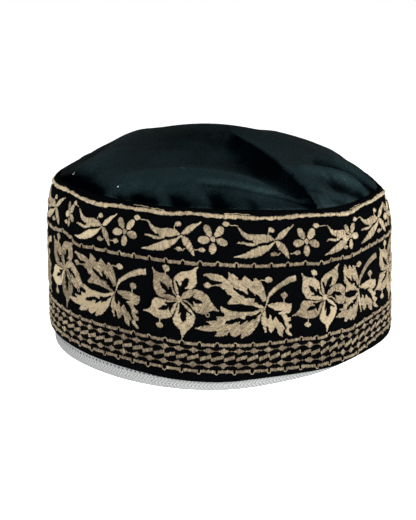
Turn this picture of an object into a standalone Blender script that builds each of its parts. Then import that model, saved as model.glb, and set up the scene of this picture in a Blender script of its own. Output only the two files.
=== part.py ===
"""Kufi cap: a soft gathered crown on a stiff upright band, with a white band inside the rim.

The cap stands on the lower edge of its white inner band, on the plane z = 0. The wearer's front faces -Y.
Angles run round the cap in degrees, from 0 at the front (-Y) towards +X. Sizes are in millimetres until a mesh
is made, and then in metres.
"""

from collections import namedtuple

import bmesh
import bpy
import numpy as np

METRES = 0.001
GAP = 0.3

# The band, as an upright strip that leans in a little and is pulled in by the seam along its top
BAND_HEIGHT = 74.6
BAND_WALL = 2.0
TAPER = 0.039
SEAM_PULL = 3.4
SEAM_PULL_START = 53.0
EDGE_ROUND = 0.7
BORDER_HEIGHT = 72.1
BORDER_WIDTH = 2.2
BORDER_RAISE = 0.9

# The white band inside the rim
INNER_BAND_HEIGHT = 32.0
INNER_BAND_WALL = 1.2

# The crown
CROWN_TOP = 100.5
CROWN_WALL = 1.2
CROWN_TUCK = 5.0
CROWN_SHOULDER = 0.75
CROWN_FULLNESS = 1.78
FULLER_AT_CORNERS = 0.32
FLATTER_ON_RIGHT = 0.24
FLATTER_IN_FRONT = 0.09
POLE = (4.0, -2.0)

# The sharp crease that runs over the crown
CREASE_FRONT = 33
CREASE_BACK = 183
CREASE_CREST = 2.0
CREASE_VALLEY = 4.2
CREASE_VALLEY_AT = 9.0
CREASE_CREST_LEFT = 4.0
CREASE_CREST_RIGHT = 14.0
CREASE_RIM_FADE = 12.0
CREASE_BACK_FADE = 45.0
CREASE_POLE_SHARE = 0.3
CREASE_POLE_FADE = 34.0

GATHER_WIDTH = 4.5
GATHER_REACH = 0.32
GATHER_SLANT = 0.7

SPOKE_STEP = 3

# A row for each place where the band bends, is creased, or lifts off the surface that the cap stands on
Section = namedtuple("Section", "angle radius hem_lift top_drop")
SECTIONS = [
    Section(-150, 89.4, 6.0, 0.0),
    Section(-120, 86.8, 7.0, 0.4),
    Section(-95, 87.0, 8.1, 0.7),
    Section(-70, 92.8, 8.8, -0.4),
    Section(-58, 93.1, 9.0, -0.8),
    Section(-40, 92.0, 8.2, -1.1),
    Section(-15, 91.9, 6.9, -1.6),
    Section(0, 91.2, 6.0, -1.8),
    Section(17, 87.9, 4.0, -1.2),
    Section(33, 86.6, 2.0, -0.5),
    Section(50, 85.3, 1.0, 0.5),
    Section(70, 87.9, 0.6, -0.2),
    Section(90, 86.6, 0.6, 3.4),
    Section(120, 90.0, 0.7, 4.0),
    Section(150, 92.8, 1.8, 2.0),
    Section(180, 92.3, 3.4, 0.5),
]

# A row for each pucker where the crown is gathered into the band
Gather = namedtuple("Gather", "angle depth")
GATHERS = [
    Gather(-164, 0.9),
    Gather(-149, 1.1),
    Gather(-133, 0.8),
    Gather(-118, 1.1),
    Gather(-104, 0.9),
    Gather(-90, 0.8),
    Gather(-72, 1.0),
    Gather(-56, 1.1),
    Gather(-30, 1.4),
    Gather(-14, 1.2),
    Gather(-3, 1.2),
    Gather(16, 1.0),
    Gather(47, 1.2),
    Gather(58, 1.5),
    Gather(69, 1.5),
    Gather(80, 1.2),
    Gather(95, 1.1),
    Gather(110, 0.9),
    Gather(124, 1.1),
    Gather(139, 0.9),
    Gather(154, 1.2),
    Gather(169, 0.8),
]

# A row for each soft roll (raised) or dent (sunken) of the crown, along a line in plan
Fold = namedtuple("Fold", "x0 y0 x1 y1 height width")
FOLDS = {
    "front roll": Fold(-42, -58, 0, -56, 1.4, 6.0),
    "front tuck": Fold(-9, -66, 34, -68, 1.0, 4.0),
    "left roll": Fold(-56, -50, -40, -68, 1.3, 6.0),
    "right roll": Fold(30, -40, 61, -32, 1.9, 6.0),
    "right roll end": Fold(62, -32, 68, -37, 1.4, 5.0),
    "right pocket": Fold(50, -46, 58, -40, -3.0, 6.0),
    "right rim roll": Fold(41, -56, 54, -52, 1.2, 5.0),
    "left shoulder dent": Fold(-65, -12, -60, 10, -1.4, 8.0),
    "left shoulder roll": Fold(-52, 14, -46, 32, 1.0, 9.0),
    "back left dent": Fold(-30, 62, -14, 70, -1.6, 9.0),
    "back right roll": Fold(30, 48, 56, 34, 1.4, 9.0),
}


def around(rows, column, angle):
    """A smooth closed curve through one column of the rows, by cubics whose slopes are the mean of their sides."""
    knots = np.array([row.angle for row in rows] + [rows[0].angle + 360.0])
    values = np.array([getattr(row, column) for row in rows] + [getattr(rows[0], column)])
    steps = np.diff(knots)
    secants = np.diff(values) / steps
    before, step_before = np.roll(secants, 1), np.roll(steps, 1)
    slopes = (secants * step_before + before * steps) / (steps + step_before)
    slopes = np.append(slopes, slopes[0])
    at = np.mod(np.asarray(angle, float) - knots[0], 360.0) + knots[0]
    piece = np.clip(np.searchsorted(knots, at, side="right") - 1, 0, len(steps) - 1)
    step = steps[piece]
    t = (at - knots[piece]) / step
    start = values[piece] * (1 + 2 * t) * (1 - t) ** 2 + slopes[piece] * step * t * (1 - t) ** 2
    end = values[piece + 1] * (3 - 2 * t) * t**2 + slopes[piece + 1] * step * t**2 * (t - 1)
    return start + end


def band_face(angle, height, depth=0.0):
    """Points of the band at this height above its hem and this depth in from its outer face, before centring."""
    climb = np.maximum(height - SEAM_PULL_START, 0.0) / (BORDER_HEIGHT - SEAM_PULL_START)
    radius = around(SECTIONS, "radius", angle) - TAPER * height - SEAM_PULL * climb**2 - depth
    drop = around(SECTIONS, "top_drop", angle) * np.minimum(climb, 1.0)
    z = around(SECTIONS, "hem_lift", angle) + height - drop
    turn = np.radians(angle)
    return np.stack([radius * np.sin(turn), -radius * np.cos(turn), z], axis=-1)


SPOKES = np.arange(CREASE_FRONT, CREASE_FRONT + 360, SPOKE_STEP)


def plan_centre():
    """The middle of the band's outline in plan, which is put over the origin."""
    angle, height = np.meshgrid(SPOKES, [0.0, SEAM_PULL_START], indexing="ij")
    outline = band_face(angle, height)[..., :2].reshape(-1, 2)
    return np.append((outline.min(axis=0) + outline.max(axis=0)) / 2, 0.0)


CENTRE = plan_centre()


def cloth(name, colour, roughness):
    material = bpy.data.materials.new(name)
    material.use_nodes = True
    shader = material.node_tree.nodes["Principled BSDF"]
    shader.inputs["Base Color"].default_value = (*colour, 1.0)
    shader.inputs["Roughness"].default_value = roughness
    shader.inputs["Metallic"].default_value = 0.0
    material.diffuse_color = (*colour, 1.0)
    return material


def add_piece(name, points, faces, material):
    mesh = bpy.data.meshes.new(name)
    mesh.from_pydata((points - CENTRE) * METRES, [], faces)
    work = bmesh.new()
    work.from_mesh(mesh)
    bmesh.ops.recalc_face_normals(work, faces=work.faces)
    work.to_mesh(mesh)
    work.free()
    mesh.materials.append(material)
    mesh.shade_smooth()
    mesh.set_sharp_from_angle(angle=np.radians(50))
    piece = bpy.data.objects.new(name, mesh)
    bpy.context.scene.collection.objects.link(piece)
    return piece


def grid_faces(spokes, rows, closed_rows):
    """Quads over a grid of points that goes round the cap, and round each section too where closed_rows is true."""
    spoke, row = np.meshgrid(np.arange(spokes), np.arange(rows if closed_rows else rows - 1), indexing="ij")
    next_spoke, next_row = (spoke + 1) % spokes, (row + 1) % rows
    corners = [spoke * rows + row, next_spoke * rows + row, next_spoke * rows + next_row, spoke * rows + next_row]
    return np.stack(corners, axis=-1).reshape(-1, 4).tolist()


def ring_piece(name, section, material):
    """A closed ring from a section: an array of (height, depth) points, or one such array for each spoke."""
    section = np.broadcast_to(section, (len(SPOKES), *np.shape(section)[-2:]))
    angle = np.repeat(SPOKES[:, None], section.shape[1], axis=1)
    points = band_face(angle, section[..., 0], section[..., 1])
    faces = grid_faces(len(SPOKES), section.shape[1], closed_rows=True)
    return add_piece(name, points.reshape(-1, 3), faces, material)


def make_band():
    """The band's wall, with rounded edges at the hem and at the top."""
    wall, top, edge = BAND_WALL, BAND_HEIGHT, EDGE_ROUND
    pulled_middle = (SEAM_PULL_START + BAND_HEIGHT) / 2
    section = [
        (edge, 0.0),
        (SEAM_PULL_START, 0.0),
        (pulled_middle, 0.0),
        (top - edge, 0.0),
        (top, edge),
        (top, wall - edge),
        (top - edge, wall),
        (pulled_middle, wall),
        (SEAM_PULL_START, wall),
        (edge, wall),
        (0.0, wall - edge),
        (0.0, edge),
    ]
    return ring_piece("band", section, cloth("black_band_cloth", (0.006, 0.007, 0.009), 0.85))


def make_top_border():
    """The thick stitched line along the top of the band, a half-round bead on its outer face."""
    turn = np.radians([180, 127, 90, 53, 0])
    height = BORDER_HEIGHT + BORDER_WIDTH / 2 * np.cos(turn)
    depth = -GAP - BORDER_RAISE * np.sin(turn)
    section = np.stack([height, depth], axis=-1)
    return ring_piece("top_border", section, cloth("tan_thread", (0.52, 0.40, 0.24), 0.55))


def make_inner_band():
    """The white band inside the rim. Its lower edge is level, while the hem outside it lifts and falls."""
    outer = BAND_WALL + GAP
    inner = outer + INNER_BAND_WALL
    lift = around(SECTIONS, "hem_lift", SPOKES)[:, None]
    height = np.array([0.0, INNER_BAND_HEIGHT, INNER_BAND_HEIGHT, 0.0]) - lift
    depth = np.array([outer, outer, inner, inner])
    section = np.stack([height, np.broadcast_to(depth, height.shape)], axis=-1)
    return ring_piece("inner_band", section, cloth("white_twill", (0.80, 0.80, 0.79), 0.8))


def distance_to_line(x, y, x0, y0, x1, y1):
    """How far each point is from the straight piece between two ends."""
    along = ((x - x0) * (x1 - x0) + (y - y0) * (y1 - y0)) / ((x1 - x0) ** 2 + (y1 - y0) ** 2)
    along = np.clip(along, 0.0, 1.0)
    return np.hypot(x - x0 - along * (x1 - x0), y - y0 - along * (y1 - y0))


def crease_height(x, y):
    """The crease: a sharp crest, a soft slope on its right, and on its left a steep fall to a valley that fades."""
    front = crown_rim(CREASE_FRONT)
    back = crown_rim(CREASE_BACK)
    from_front = distance_to_line(x, y, *POLE, *front[:2])
    from_back = distance_to_line(x, y, *POLE, *back[:2])
    away = np.minimum(from_front, from_back)
    turn = np.degrees(np.arctan2(x - POLE[0], -(y - POLE[1])))
    towards_front = np.degrees(np.arctan2(front[0] - POLE[0], -(front[1] - POLE[1])))
    towards_back = np.degrees(np.arctan2(back[0] - POLE[0], -(back[1] - POLE[1])))
    on_right = np.mod(turn - towards_front, 360) < np.mod(towards_back - towards_front, 360)
    valley = CREASE_VALLEY * away / CREASE_VALLEY_AT * np.exp(1 - away / CREASE_VALLEY_AT)
    left = CREASE_CREST * np.exp(-away / CREASE_CREST_LEFT) - valley
    right = CREASE_CREST * np.exp(-away / CREASE_CREST_RIGHT)
    behind = np.clip((y - POLE[1]) / CREASE_BACK_FADE, 0.0, 1.0)
    ahead = np.clip((POLE[1] - y) / CREASE_POLE_FADE, 0.0, 1.0)
    growth = CREASE_POLE_SHARE + (1 - CREASE_POLE_SHARE) * ahead**2 * (3 - 2 * ahead)
    return np.where(on_right, right, left) * growth * (1 - behind**2)


def gather_depth(angle, reach):
    """Puckers that are deepest a little way in from the rim."""
    depth = np.zeros(np.broadcast(angle, reach).shape)
    for gather in GATHERS:
        turn = np.mod(angle - gather.angle + 180, 360) - 180
        depth = depth + gather.depth * np.exp(-((turn / GATHER_WIDTH) ** 2))
    inward = np.clip((1 - reach) / GATHER_REACH, 0.0, 1.0)
    return depth * np.sin(np.pi * np.sqrt(inward)) ** 2


def crown_rim(angle):
    """Where the crown leaves the top of the band, just inside it."""
    return band_face(angle, BAND_HEIGHT, BAND_WALL + GAP)


def crown_surface(angle, reach):
    """The crown's outer face: reach runs from 0 at the pole to 1 at the rim, and each spoke rounds over to it."""
    rim = crown_rim(angle)
    turn = np.radians(angle)
    fullness = CROWN_FULLNESS + FULLER_AT_CORNERS * np.sin(2 * turn)
    fullness = fullness - FLATTER_ON_RIGHT * np.sin(turn) - FLATTER_IN_FRONT * np.cos(2 * turn)
    x = POLE[0] + (rim[..., 0] - POLE[0]) * reach
    y = POLE[1] + (rim[..., 1] - POLE[1]) * reach
    rise = (1 - reach**fullness) ** CROWN_SHOULDER
    z = rim[..., 2] + (CROWN_TOP - rim[..., 2]) * rise
    raised = crease_height(x, y)
    for fold in FOLDS.values():
        away = distance_to_line(x, y, fold.x0, fold.y0, fold.x1, fold.y1)
        raised = raised + fold.height * np.exp(-((away / fold.width) ** 2))
    to_rim = np.hypot(rim[..., 0] - POLE[0], rim[..., 1] - POLE[1]) * (1 - reach)
    raised = raised * np.clip(to_rim / CREASE_RIM_FADE, 0.0, 1.0) ** CROWN_SHOULDER
    pucker = gather_depth(angle, reach)
    outward = np.stack([np.sin(turn), -np.cos(turn)], axis=-1)
    plan = np.stack([x, y], axis=-1) - outward * (GATHER_SLANT * pucker)[..., None]
    return np.concatenate([plan, (z + raised - GATHER_SLANT * pucker)[..., None]], axis=-1)


def make_crown():
    """One soft sheet from its pole to its rim, with a turned-down edge inside the top of the band."""
    reaches = [1.0, 0.985, 0.955, 0.915, 0.86, 0.79, 0.70, 0.59, 0.46, 0.33, 0.20, 0.08]
    angle, reach = np.meshgrid(SPOKES, reaches, indexing="ij")
    dome = crown_surface(angle, reach)
    edge = crown_rim(SPOKES)[:, None, :] - (0.0, 0.0, CROWN_TUCK)
    points = np.concatenate([edge, dome], axis=1)
    rows = points.shape[1]
    pole = crown_surface(float(CREASE_FRONT), np.array(0.0))
    faces = grid_faces(len(SPOKES), rows, closed_rows=False)
    last = np.arange(len(SPOKES)) * rows + rows - 1
    faces += [[int(here), int(there), points.shape[0] * rows] for here, there in zip(last, np.roll(last, -1))]
    points = np.vstack([points.reshape(-1, 3), pole])
    crown = add_piece("crown", points, faces, cloth("black_crown_cloth", (0.010, 0.014, 0.016), 0.6))
    wall = crown.modifiers.new("wall", "SOLIDIFY")
    wall.thickness = CROWN_WALL * METRES
    wall.offset = -1.0
    wall.use_rim = True
    return crown


for leftover in list(bpy.data.objects):
    bpy.data.objects.remove(leftover)

make_crown()
make_band()
make_top_border()
make_inner_band()
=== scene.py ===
from collections import namedtuple
import bpy
import numpy as np
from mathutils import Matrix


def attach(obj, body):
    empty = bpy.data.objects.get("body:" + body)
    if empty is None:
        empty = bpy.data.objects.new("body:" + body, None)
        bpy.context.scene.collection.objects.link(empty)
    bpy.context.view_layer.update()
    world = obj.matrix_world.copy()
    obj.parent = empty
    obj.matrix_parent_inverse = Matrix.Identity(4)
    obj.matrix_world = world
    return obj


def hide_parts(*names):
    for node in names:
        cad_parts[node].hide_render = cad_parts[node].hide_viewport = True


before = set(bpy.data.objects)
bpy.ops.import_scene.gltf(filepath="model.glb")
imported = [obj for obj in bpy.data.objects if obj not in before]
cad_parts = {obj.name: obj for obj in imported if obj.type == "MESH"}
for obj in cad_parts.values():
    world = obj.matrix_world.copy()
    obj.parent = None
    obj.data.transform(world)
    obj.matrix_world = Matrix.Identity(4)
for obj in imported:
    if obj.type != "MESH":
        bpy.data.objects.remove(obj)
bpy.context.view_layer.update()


# The band
# A stiff upright strip of black twill joined to a ring, and pulled in along its top by the crown's seam.
# The cloth is folded over a stiffening, so both edges are round. Sizes are in millimetres, and angles in
# degrees from 0 at the front towards the right.
MM = 0.001
LAP_DEGREES = 360.0
BAND_HEIGHT = 74.6
BAND_WALL = 2.0
BAND_TAPER = 0.039
SEAM_PULL = 3.4
SEAM_PULL_START = 53.0
TOP_LINE_HEIGHT = 72.1
BAND_RIPPLE = 0.07
BAND_COLUMNS = 600
BAND_ROWS_OUT, BAND_ROWS_IN = 60, 14
BAND_COLOUR = (0.0004, 0.0007, 0.0011)
BAND_RUBBED = 1.9
BAND_TWILL = (0.0007, 0.8)
RAIL_1, RAIL_2, RAIL_3 = 52.9, 16.7, 3.9

Section = namedtuple("Section", "angle radius hem_lift top_drop")
SECTIONS = [
    Section(-150, 89.4, 6.0, 0.0),
    Section(-120, 86.8, 7.0, 0.4),
    Section(-95, 87.0, 8.1, 0.7),
    Section(-70, 92.8, 8.8, -0.4),
    Section(-58, 93.1, 9.0, -0.8),
    Section(-40, 92.0, 8.2, -1.1),
    Section(-15, 91.9, 6.9, -1.6),
    Section(0, 91.2, 6.0, -1.8),
    Section(17, 87.9, 4.0, -1.2),
    Section(33, 86.6, 2.0, -0.5),
    Section(50, 85.3, 1.0, 0.5),
    Section(70, 87.9, 0.6, -0.2),
    Section(90, 86.6, 0.6, 3.4),
    Section(120, 90.0, 0.7, 4.0),
    Section(150, 92.8, 1.8, 2.0),
    Section(180, 92.3, 3.4, 0.5),
]


def around(rows, column, at, lap=LAP_DEGREES):
    """A smooth closed curve through one column: cubics, each slope the mean of those on its two sides."""
    knots = np.array([row[0] for row in rows] + [rows[0][0] + lap], float)
    values = np.array([getattr(row, column) for row in rows] + [getattr(rows[0], column)], float)
    steps = np.diff(knots)
    secants = np.diff(values) / steps
    before, step_before = np.roll(secants, 1), np.roll(steps, 1)
    slopes = (secants * step_before + before * steps) / (steps + step_before)
    slopes = np.append(slopes, slopes[0])
    at = np.mod(np.asarray(at, float) - knots[0], lap) + knots[0]
    piece = np.clip(np.searchsorted(knots, at, side="right") - 1, 0, len(steps) - 1)
    step = steps[piece]
    t = (at - knots[piece]) / step
    start = values[piece] * (1 + 2 * t) * (1 - t) ** 2 + slopes[piece] * step * t * (1 - t) ** 2
    end = values[piece + 1] * (3 - 2 * t) * t**2 + slopes[piece + 1] * step * t**2 * (t - 1)
    return start + end


def band_face(angle, height, depth=0.0):
    """A point of the band: the ring's radius less its lean, its pull at the top and the depth."""
    climb = np.maximum(height - SEAM_PULL_START, 0.0) / (TOP_LINE_HEIGHT - SEAM_PULL_START)
    turn = np.radians(angle)
    ripple = BAND_RIPPLE * np.sin(37 * turn + 0.31 * height) * np.sin(23 * turn - 0.17 * height)
    lean = BAND_TAPER * height + SEAM_PULL * climb**2
    radius = around(SECTIONS, "radius", angle) - lean - depth + ripple
    drop = around(SECTIONS, "top_drop", angle) * np.minimum(climb, 1.0)
    z = around(SECTIONS, "hem_lift", angle) + height - drop
    return np.stack([radius * np.sin(turn), -radius * np.cos(turn), z], axis=-1)


def plan_centre():
    """The middle of the plan's box, read off the plain cap at its hem and where the pull starts."""
    angle, height = np.meshgrid(np.arange(33, 393, 3), [0.0, SEAM_PULL_START], indexing="ij")
    outline = band_face(angle, height)[..., :2].reshape(-1, 2)
    return np.append((outline.min(axis=0) + outline.max(axis=0)) / 2, 0.0)


def length_along(points):
    """The distance run along rows of points, starting from 0."""
    steps = np.linalg.norm(np.diff(points, axis=0), axis=1)
    return np.append(0.0, np.cumsum(steps))


CENTRE = plan_centre()
CHART_ANGLES = np.linspace(-180.0, 180.0, 3601)
CHART_LENGTHS = length_along(band_face(CHART_ANGLES, 35.0)[:, :2])
GIRTH = CHART_LENGTHS[-1]
CHART_LENGTHS = CHART_LENGTHS - np.interp(0.0, CHART_ANGLES, CHART_LENGTHS)

# Wear has moved the rows: the true heights of the hem, the rails and the top line at places along the band
Rows = namedtuple("Rows", "along hem rail_3 rail_2 rail_1 top_line")
ROWS = [
    Rows(-125, -0.5, 3.9, 16.7, 52.9, 72.1),
    Rows(-100, -0.9, 2.9, 16.2, 53.3, 72.4),
    Rows(-80.0, -0.9, 3.1, 16.1, 53.3, 72.1),
    Rows(-78.4, -0.9, 3.1, 16.1, 52.4, 71.9),
    Rows(-65, -0.9, 3.6, 16.6, 52.5, 71.3),
    Rows(-50, -0.8, 4.3, 17.4, 53.1, 72.3),
    Rows(-38, -0.9, 4.4, 17.3, 53.5, 72.4),
    Rows(-28, -1.4, 4.2, 17.1, 53.5, 72.1),
    Rows(-15, -1.6, 4.0, 16.6, 53.4, 72.7),
    Rows(0, -1.3, 4.0, 16.4, 53.3, 72.0),
    Rows(12, -0.4, 3.9, 16.3, 52.7, 71.8),
    Rows(25, 0.1, 3.8, 16.6, 52.4, 71.6),
    Rows(37, 0.3, 3.7, 17.1, 52.5, 72.4),
    Rows(47, 0.3, 2.9, 16.4, 51.6, 72.4),
    Rows(55, 0.0, 3.4, 17.0, 52.2, 72.2),
    Rows(66, 0.0, 2.1, 15.9, 51.5, 71.2),
    Rows(80, 0.0, 3.8, 16.9, 52.6, 72.4),
    Rows(92, 0.0, 5.4, 17.6, 53.2, 72.7),
    Rows(125, 0.0, 3.9, 16.7, 52.9, 72.1),
]


def add_mesh(name, points, faces, material, stands_for=(), uv=None):
    """Makes a piece from points in millimetres, put over the cap's origin, and hangs it on the body."""
    mesh = bpy.data.meshes.new(name)
    mesh.from_pydata((points - CENTRE) * MM, [], faces)
    if uv is not None:
        mesh.uv_layers.new(name="UVMap").data.foreach_set("uv", np.asarray(uv, np.float32).ravel())
    mesh.materials.append(material)
    mesh.shade_smooth()
    piece = bpy.data.objects.new(name, mesh)
    bpy.context.scene.collection.objects.link(piece)
    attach(piece, "root")
    if stands_for:
        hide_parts(*stands_for)
    return piece


def ring_faces(columns, rows):
    """Quads of a grid that closes round the cap and round its section, with each corner's place in it."""
    column, row = np.meshgrid(np.arange(columns), np.arange(rows), indexing="ij")
    at_column = np.stack([column, column + 1, column + 1, column], axis=-1).reshape(-1, 4)
    at_row = np.stack([row, row, row + 1, row + 1], axis=-1).reshape(-1, 4)
    faces = (at_column % columns) * rows + at_row % rows
    return faces, at_column, at_row


def ring_piece(name, columns, height, depth, material, stands_for):
    """A closed ring whose section is given by heights and depths, in one row or one for each column."""
    rows = np.shape(height)[-1]
    angle = np.arange(columns) * LAP_DEGREES / columns
    angle, height, depth = np.broadcast_arrays(angle[:, None], height, depth)
    points = band_face(angle, height, depth)
    faces, at_column, at_row = ring_faces(columns, rows)
    lap = length_along(np.vstack([points[:, 0], points[:1, 0]]))
    section = np.stack([height[0], depth[0]], axis=-1)
    girth = length_along(np.vstack([section, section[:1]]))
    uv = np.stack([lap[at_column], girth[at_row]], axis=-1) * MM
    return add_mesh(name, points.reshape(-1, 3), faces.tolist(), material, stands_for, uv)


class Signal:
    """A value that changes over a surface. Sums and products of signals and numbers become Math nodes."""

    def __init__(self, socket):
        self.socket = socket
        self.tree = socket.id_data

    def math(self, operation, *others):
        """Adds a Math node that reads this signal and the others, and gives its result."""
        node = self.tree.nodes.new("ShaderNodeMath")
        node.operation = operation
        for socket, value in zip(node.inputs, (self, *others)):
            feed(socket, value)
        return Signal(node.outputs[0])

    def __add__(self, other):
        return self.math("ADD", other)

    def __sub__(self, other):
        return self.math("SUBTRACT", other)

    def __mul__(self, other):
        return self.math("MULTIPLY", other)

    def __truediv__(self, other):
        return self.math("DIVIDE", other)


def feed(socket, value):
    """Links a signal to a socket, or writes a number or a colour to it."""
    if isinstance(value, Signal):
        value.tree.links.new(value.socket, socket)
    else:
        socket.default_value = value


def place_on(tree, kind):
    """A place on the piece: Object coordinates in metres, or its own UV map, which is in metres too."""
    if kind == "Object":
        return Signal(tree.nodes.new("ShaderNodeTexCoord").outputs["Object"])
    return Signal(tree.nodes.new("ShaderNodeUVMap").outputs["UV"])


def axes(place):
    """The X and the Y of a place."""
    parts = place.tree.nodes.new("ShaderNodeSeparateXYZ")
    feed(parts.inputs[0], place)
    return Signal(parts.outputs["X"]), Signal(parts.outputs["Y"])


def carried(tree, name):
    """A value that the mesh's points carry."""
    node = tree.nodes.new("ShaderNodeAttribute")
    node.attribute_name = name
    return Signal(node.outputs["Fac"])


def noise(place, scale, detail, **shape):
    """Soft random patches, about this many to the metre."""
    node = place.tree.nodes.new("ShaderNodeTexNoise")
    for name, value in {"Vector": place, "Scale": scale, "Detail": detail, **shape}.items():
        feed(node.inputs[name], value)
    return Signal(node.outputs[0])


def ramp(factor, low, high, low_at=0.0, high_at=1.0):
    """A colour ramp between two colours."""
    node = factor.tree.nodes.new("ShaderNodeValToRGB")
    for stop, colour, at in zip(node.color_ramp.elements, (low, high), (low_at, high_at)):
        stop.position = at
        stop.color = (*colour, 1.0)
    feed(node.inputs["Fac"], factor)
    return Signal(node.outputs["Color"])


def bump(height, strength, distance):
    """The normal of a surface whose fine relief is this height."""
    node = height.tree.nodes.new("ShaderNodeBump")
    for name, value in {"Height": height, "Strength": strength, "Distance": distance}.items():
        feed(node.inputs[name], value)
    return Signal(node.outputs["Normal"])


def new_material(name):
    """An empty Principled material and its node tree."""
    material = bpy.data.materials.new(name)
    material.use_nodes = True
    return material, material.node_tree


def dress(material, finish):
    """Feeds the sockets of a material's Principled shader, each by its name."""
    shader = material.node_tree.nodes["Principled BSDF"]
    for name, value in finish.items():
        feed(shader.inputs[name], value)
    return material


def make_twill_group():
    """Twill: slanted ribs, the pitch apart, each broken into short floats, on an uneven ground."""
    group = bpy.data.node_groups.new("twill_cloth", "ShaderNodeTree")
    for name, kind in {"Vector": "Vector", "Pitch": "Float", "Slope": "Float"}.items():
        group.interface.new_socket(name, in_out="INPUT", socket_type="NodeSocket" + kind)
    for name in ("Height", "Wear"):
        group.interface.new_socket(name, in_out="OUTPUT", socket_type="NodeSocketFloat")
    place, pitch, slope = [Signal(socket) for socket in group.nodes.new("NodeGroupInput").outputs[:3]]
    leave = group.nodes.new("NodeGroupOutput")
    x, y = axes(place)
    ribs = ((x + y * slope) / pitch * (2 * np.pi)).math("SINE")
    floats = ((y - x) / pitch * np.pi).math("SINE")
    fuzz = noise(place, 2600.0, 2.0)
    feed(leave.inputs["Height"], ribs * 0.35 + floats * 0.15 + 0.5 + fuzz * 0.4)
    feed(leave.inputs["Wear"], noise(place, 55.0, 4.0, Roughness=0.6))
    return group


TWILL = make_twill_group()


def weave(place, pitch, slope):
    """Lays the twill on a surface: its height and its wear."""
    cloth = place.tree.nodes.new("ShaderNodeGroup")
    cloth.node_tree = TWILL
    for socket, value in zip(cloth.inputs, (place, pitch, slope)):
        feed(socket, value)
    return Signal(cloth.outputs["Height"]), Signal(cloth.outputs["Wear"])


def band_cloth():
    """Black twill with a dull face, a little greyer where it is rubbed."""
    material, tree = new_material("black_twill")
    height, wear = weave(place_on(tree, "UV"), *BAND_TWILL)
    rubbed = [BAND_RUBBED * part for part in BAND_COLOUR]
    return dress(material, {
        "Base Color": ramp(wear, BAND_COLOUR, rubbed, 0.45, 0.75),
        "Normal": bump(height, 0.5, 0.0002),
        "Roughness": 0.85,
        "Specular IOR Level": 0.03,
    })


def half_round(steps):
    """Angles of a half turn, without its ends."""
    return np.linspace(0.0, np.pi, steps + 2)[1:-1]


def make_band():
    """The band's section: up the outer face, over a half-round fold, down inside and under another."""
    half = BAND_WALL / 2
    top = BAND_HEIGHT - half
    up = np.linspace(half, top, BAND_ROWS_OUT)
    fold = half_round(7)
    down = np.linspace(top, half, BAND_ROWS_IN)
    height = np.concatenate([up, top + half * np.sin(fold), down, half - half * np.sin(fold)])
    flat_out, flat_in = np.zeros_like(up), np.full_like(down, BAND_WALL)
    depth = np.concatenate([flat_out, half - half * np.cos(fold), flat_in, half + half * np.cos(fold)])
    angle = np.arange(BAND_COLUMNS) * LAP_DEGREES / BAND_COLUMNS
    along = np.interp(np.mod(angle + 180.0, LAP_DEGREES) - 180.0, CHART_ANGLES, CHART_LENGTHS)
    hem = around(ROWS, "hem", along, GIRTH)[:, None] * np.clip(1 - height / RAIL_3, 0.0, 1.0)
    material = band_cloth()
    return ring_piece("band_cloth", BAND_COLUMNS, height + hem, depth, material, ["band"])


make_band()


# The inner band
# A strip of white herringbone twill sewn inside the rim. Its lower edge is folded and level, and the cap
# stands on it, while the hem in front of it lifts. A level row of needle holes shows where it lifts most.
INNER_HEIGHT = 32.0
INNER_WALL = 1.2
INNER_GAP = 0.3
INNER_COLUMNS = 480
INNER_ROWS_OUT, INNER_ROWS_IN = 34, 12
INNER_WHITE = (0.62, 0.63, 0.62)
INNER_GREY = (0.11, 0.12, 0.13)
CHEVRON_WIDTH = 0.0040
CHEVRON_PITCH = 0.0017
RIB_SHARE = 0.15
HOLE_STEP = 0.0023
HOLE_RADIUS = 0.00055
HOLES_LEVEL = 5.3


def herringbone_cloth():
    """Chevrons: the ribs' slope turns over at each chevron's edge. Needle holes are dark dots in a row."""
    material, tree = new_material("white_herringbone")
    place = place_on(tree, "UV")
    x, y = axes(place)
    ribs = ((x + y.math("PINGPONG", CHEVRON_WIDTH / 2)) / CHEVRON_PITCH * (2 * np.pi)).math("SINE")
    height = ribs * RIB_SHARE + noise(place, 1800.0, 3.0)
    off_line = carried(tree, "level") - HOLES_LEVEL * MM
    off_hole = x.math("PINGPONG", HOLE_STEP / 2)
    from_hole = (off_line * off_line + off_hole * off_hole).math("SQRT")
    hole = from_hole.math("LESS_THAN", HOLE_RADIUS)
    return dress(material, {
        "Base Color": ramp(height * 0.9 - hole * 2.0, INNER_GREY, INNER_WHITE, 0.12, 0.62),
        "Normal": bump(height - hole * 1.5, 0.6, 0.0003),
        "Roughness": 0.8,
    })


def carry(piece, name, values):
    """Gives each point of a piece's mesh a value that its material reads."""
    attribute = piece.data.attributes.new(name, "FLOAT", "POINT")
    attribute.data.foreach_set("value", np.asarray(values, np.float32).ravel())


def make_inner_band():
    """The strip's section, level with the ground: its heights on the band take off the hem's lift."""
    half = INNER_WALL / 2
    outer = BAND_WALL + INNER_GAP
    fold = half_round(5)
    down = np.linspace(INNER_HEIGHT, half, INNER_ROWS_OUT)
    up = np.linspace(half, INNER_HEIGHT, INNER_ROWS_IN)
    level = np.concatenate([down, half - half * np.sin(fold), up])
    flat_out, flat_in = np.full_like(down, outer), np.full_like(up, outer + INNER_WALL)
    depth = np.concatenate([flat_out, outer + half - half * np.cos(fold), flat_in])
    angle = np.arange(INNER_COLUMNS) * LAP_DEGREES / INNER_COLUMNS
    lift = around(SECTIONS, "hem_lift", angle)[:, None]
    material = herringbone_cloth()
    piece = ring_piece("inner_band_cloth", INNER_COLUMNS, level - lift, depth, material,
                       ["inner_band"])
    carry(piece, "level", np.broadcast_to(level * MM, (INNER_COLUMNS, len(level))))


make_inner_band()


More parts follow.
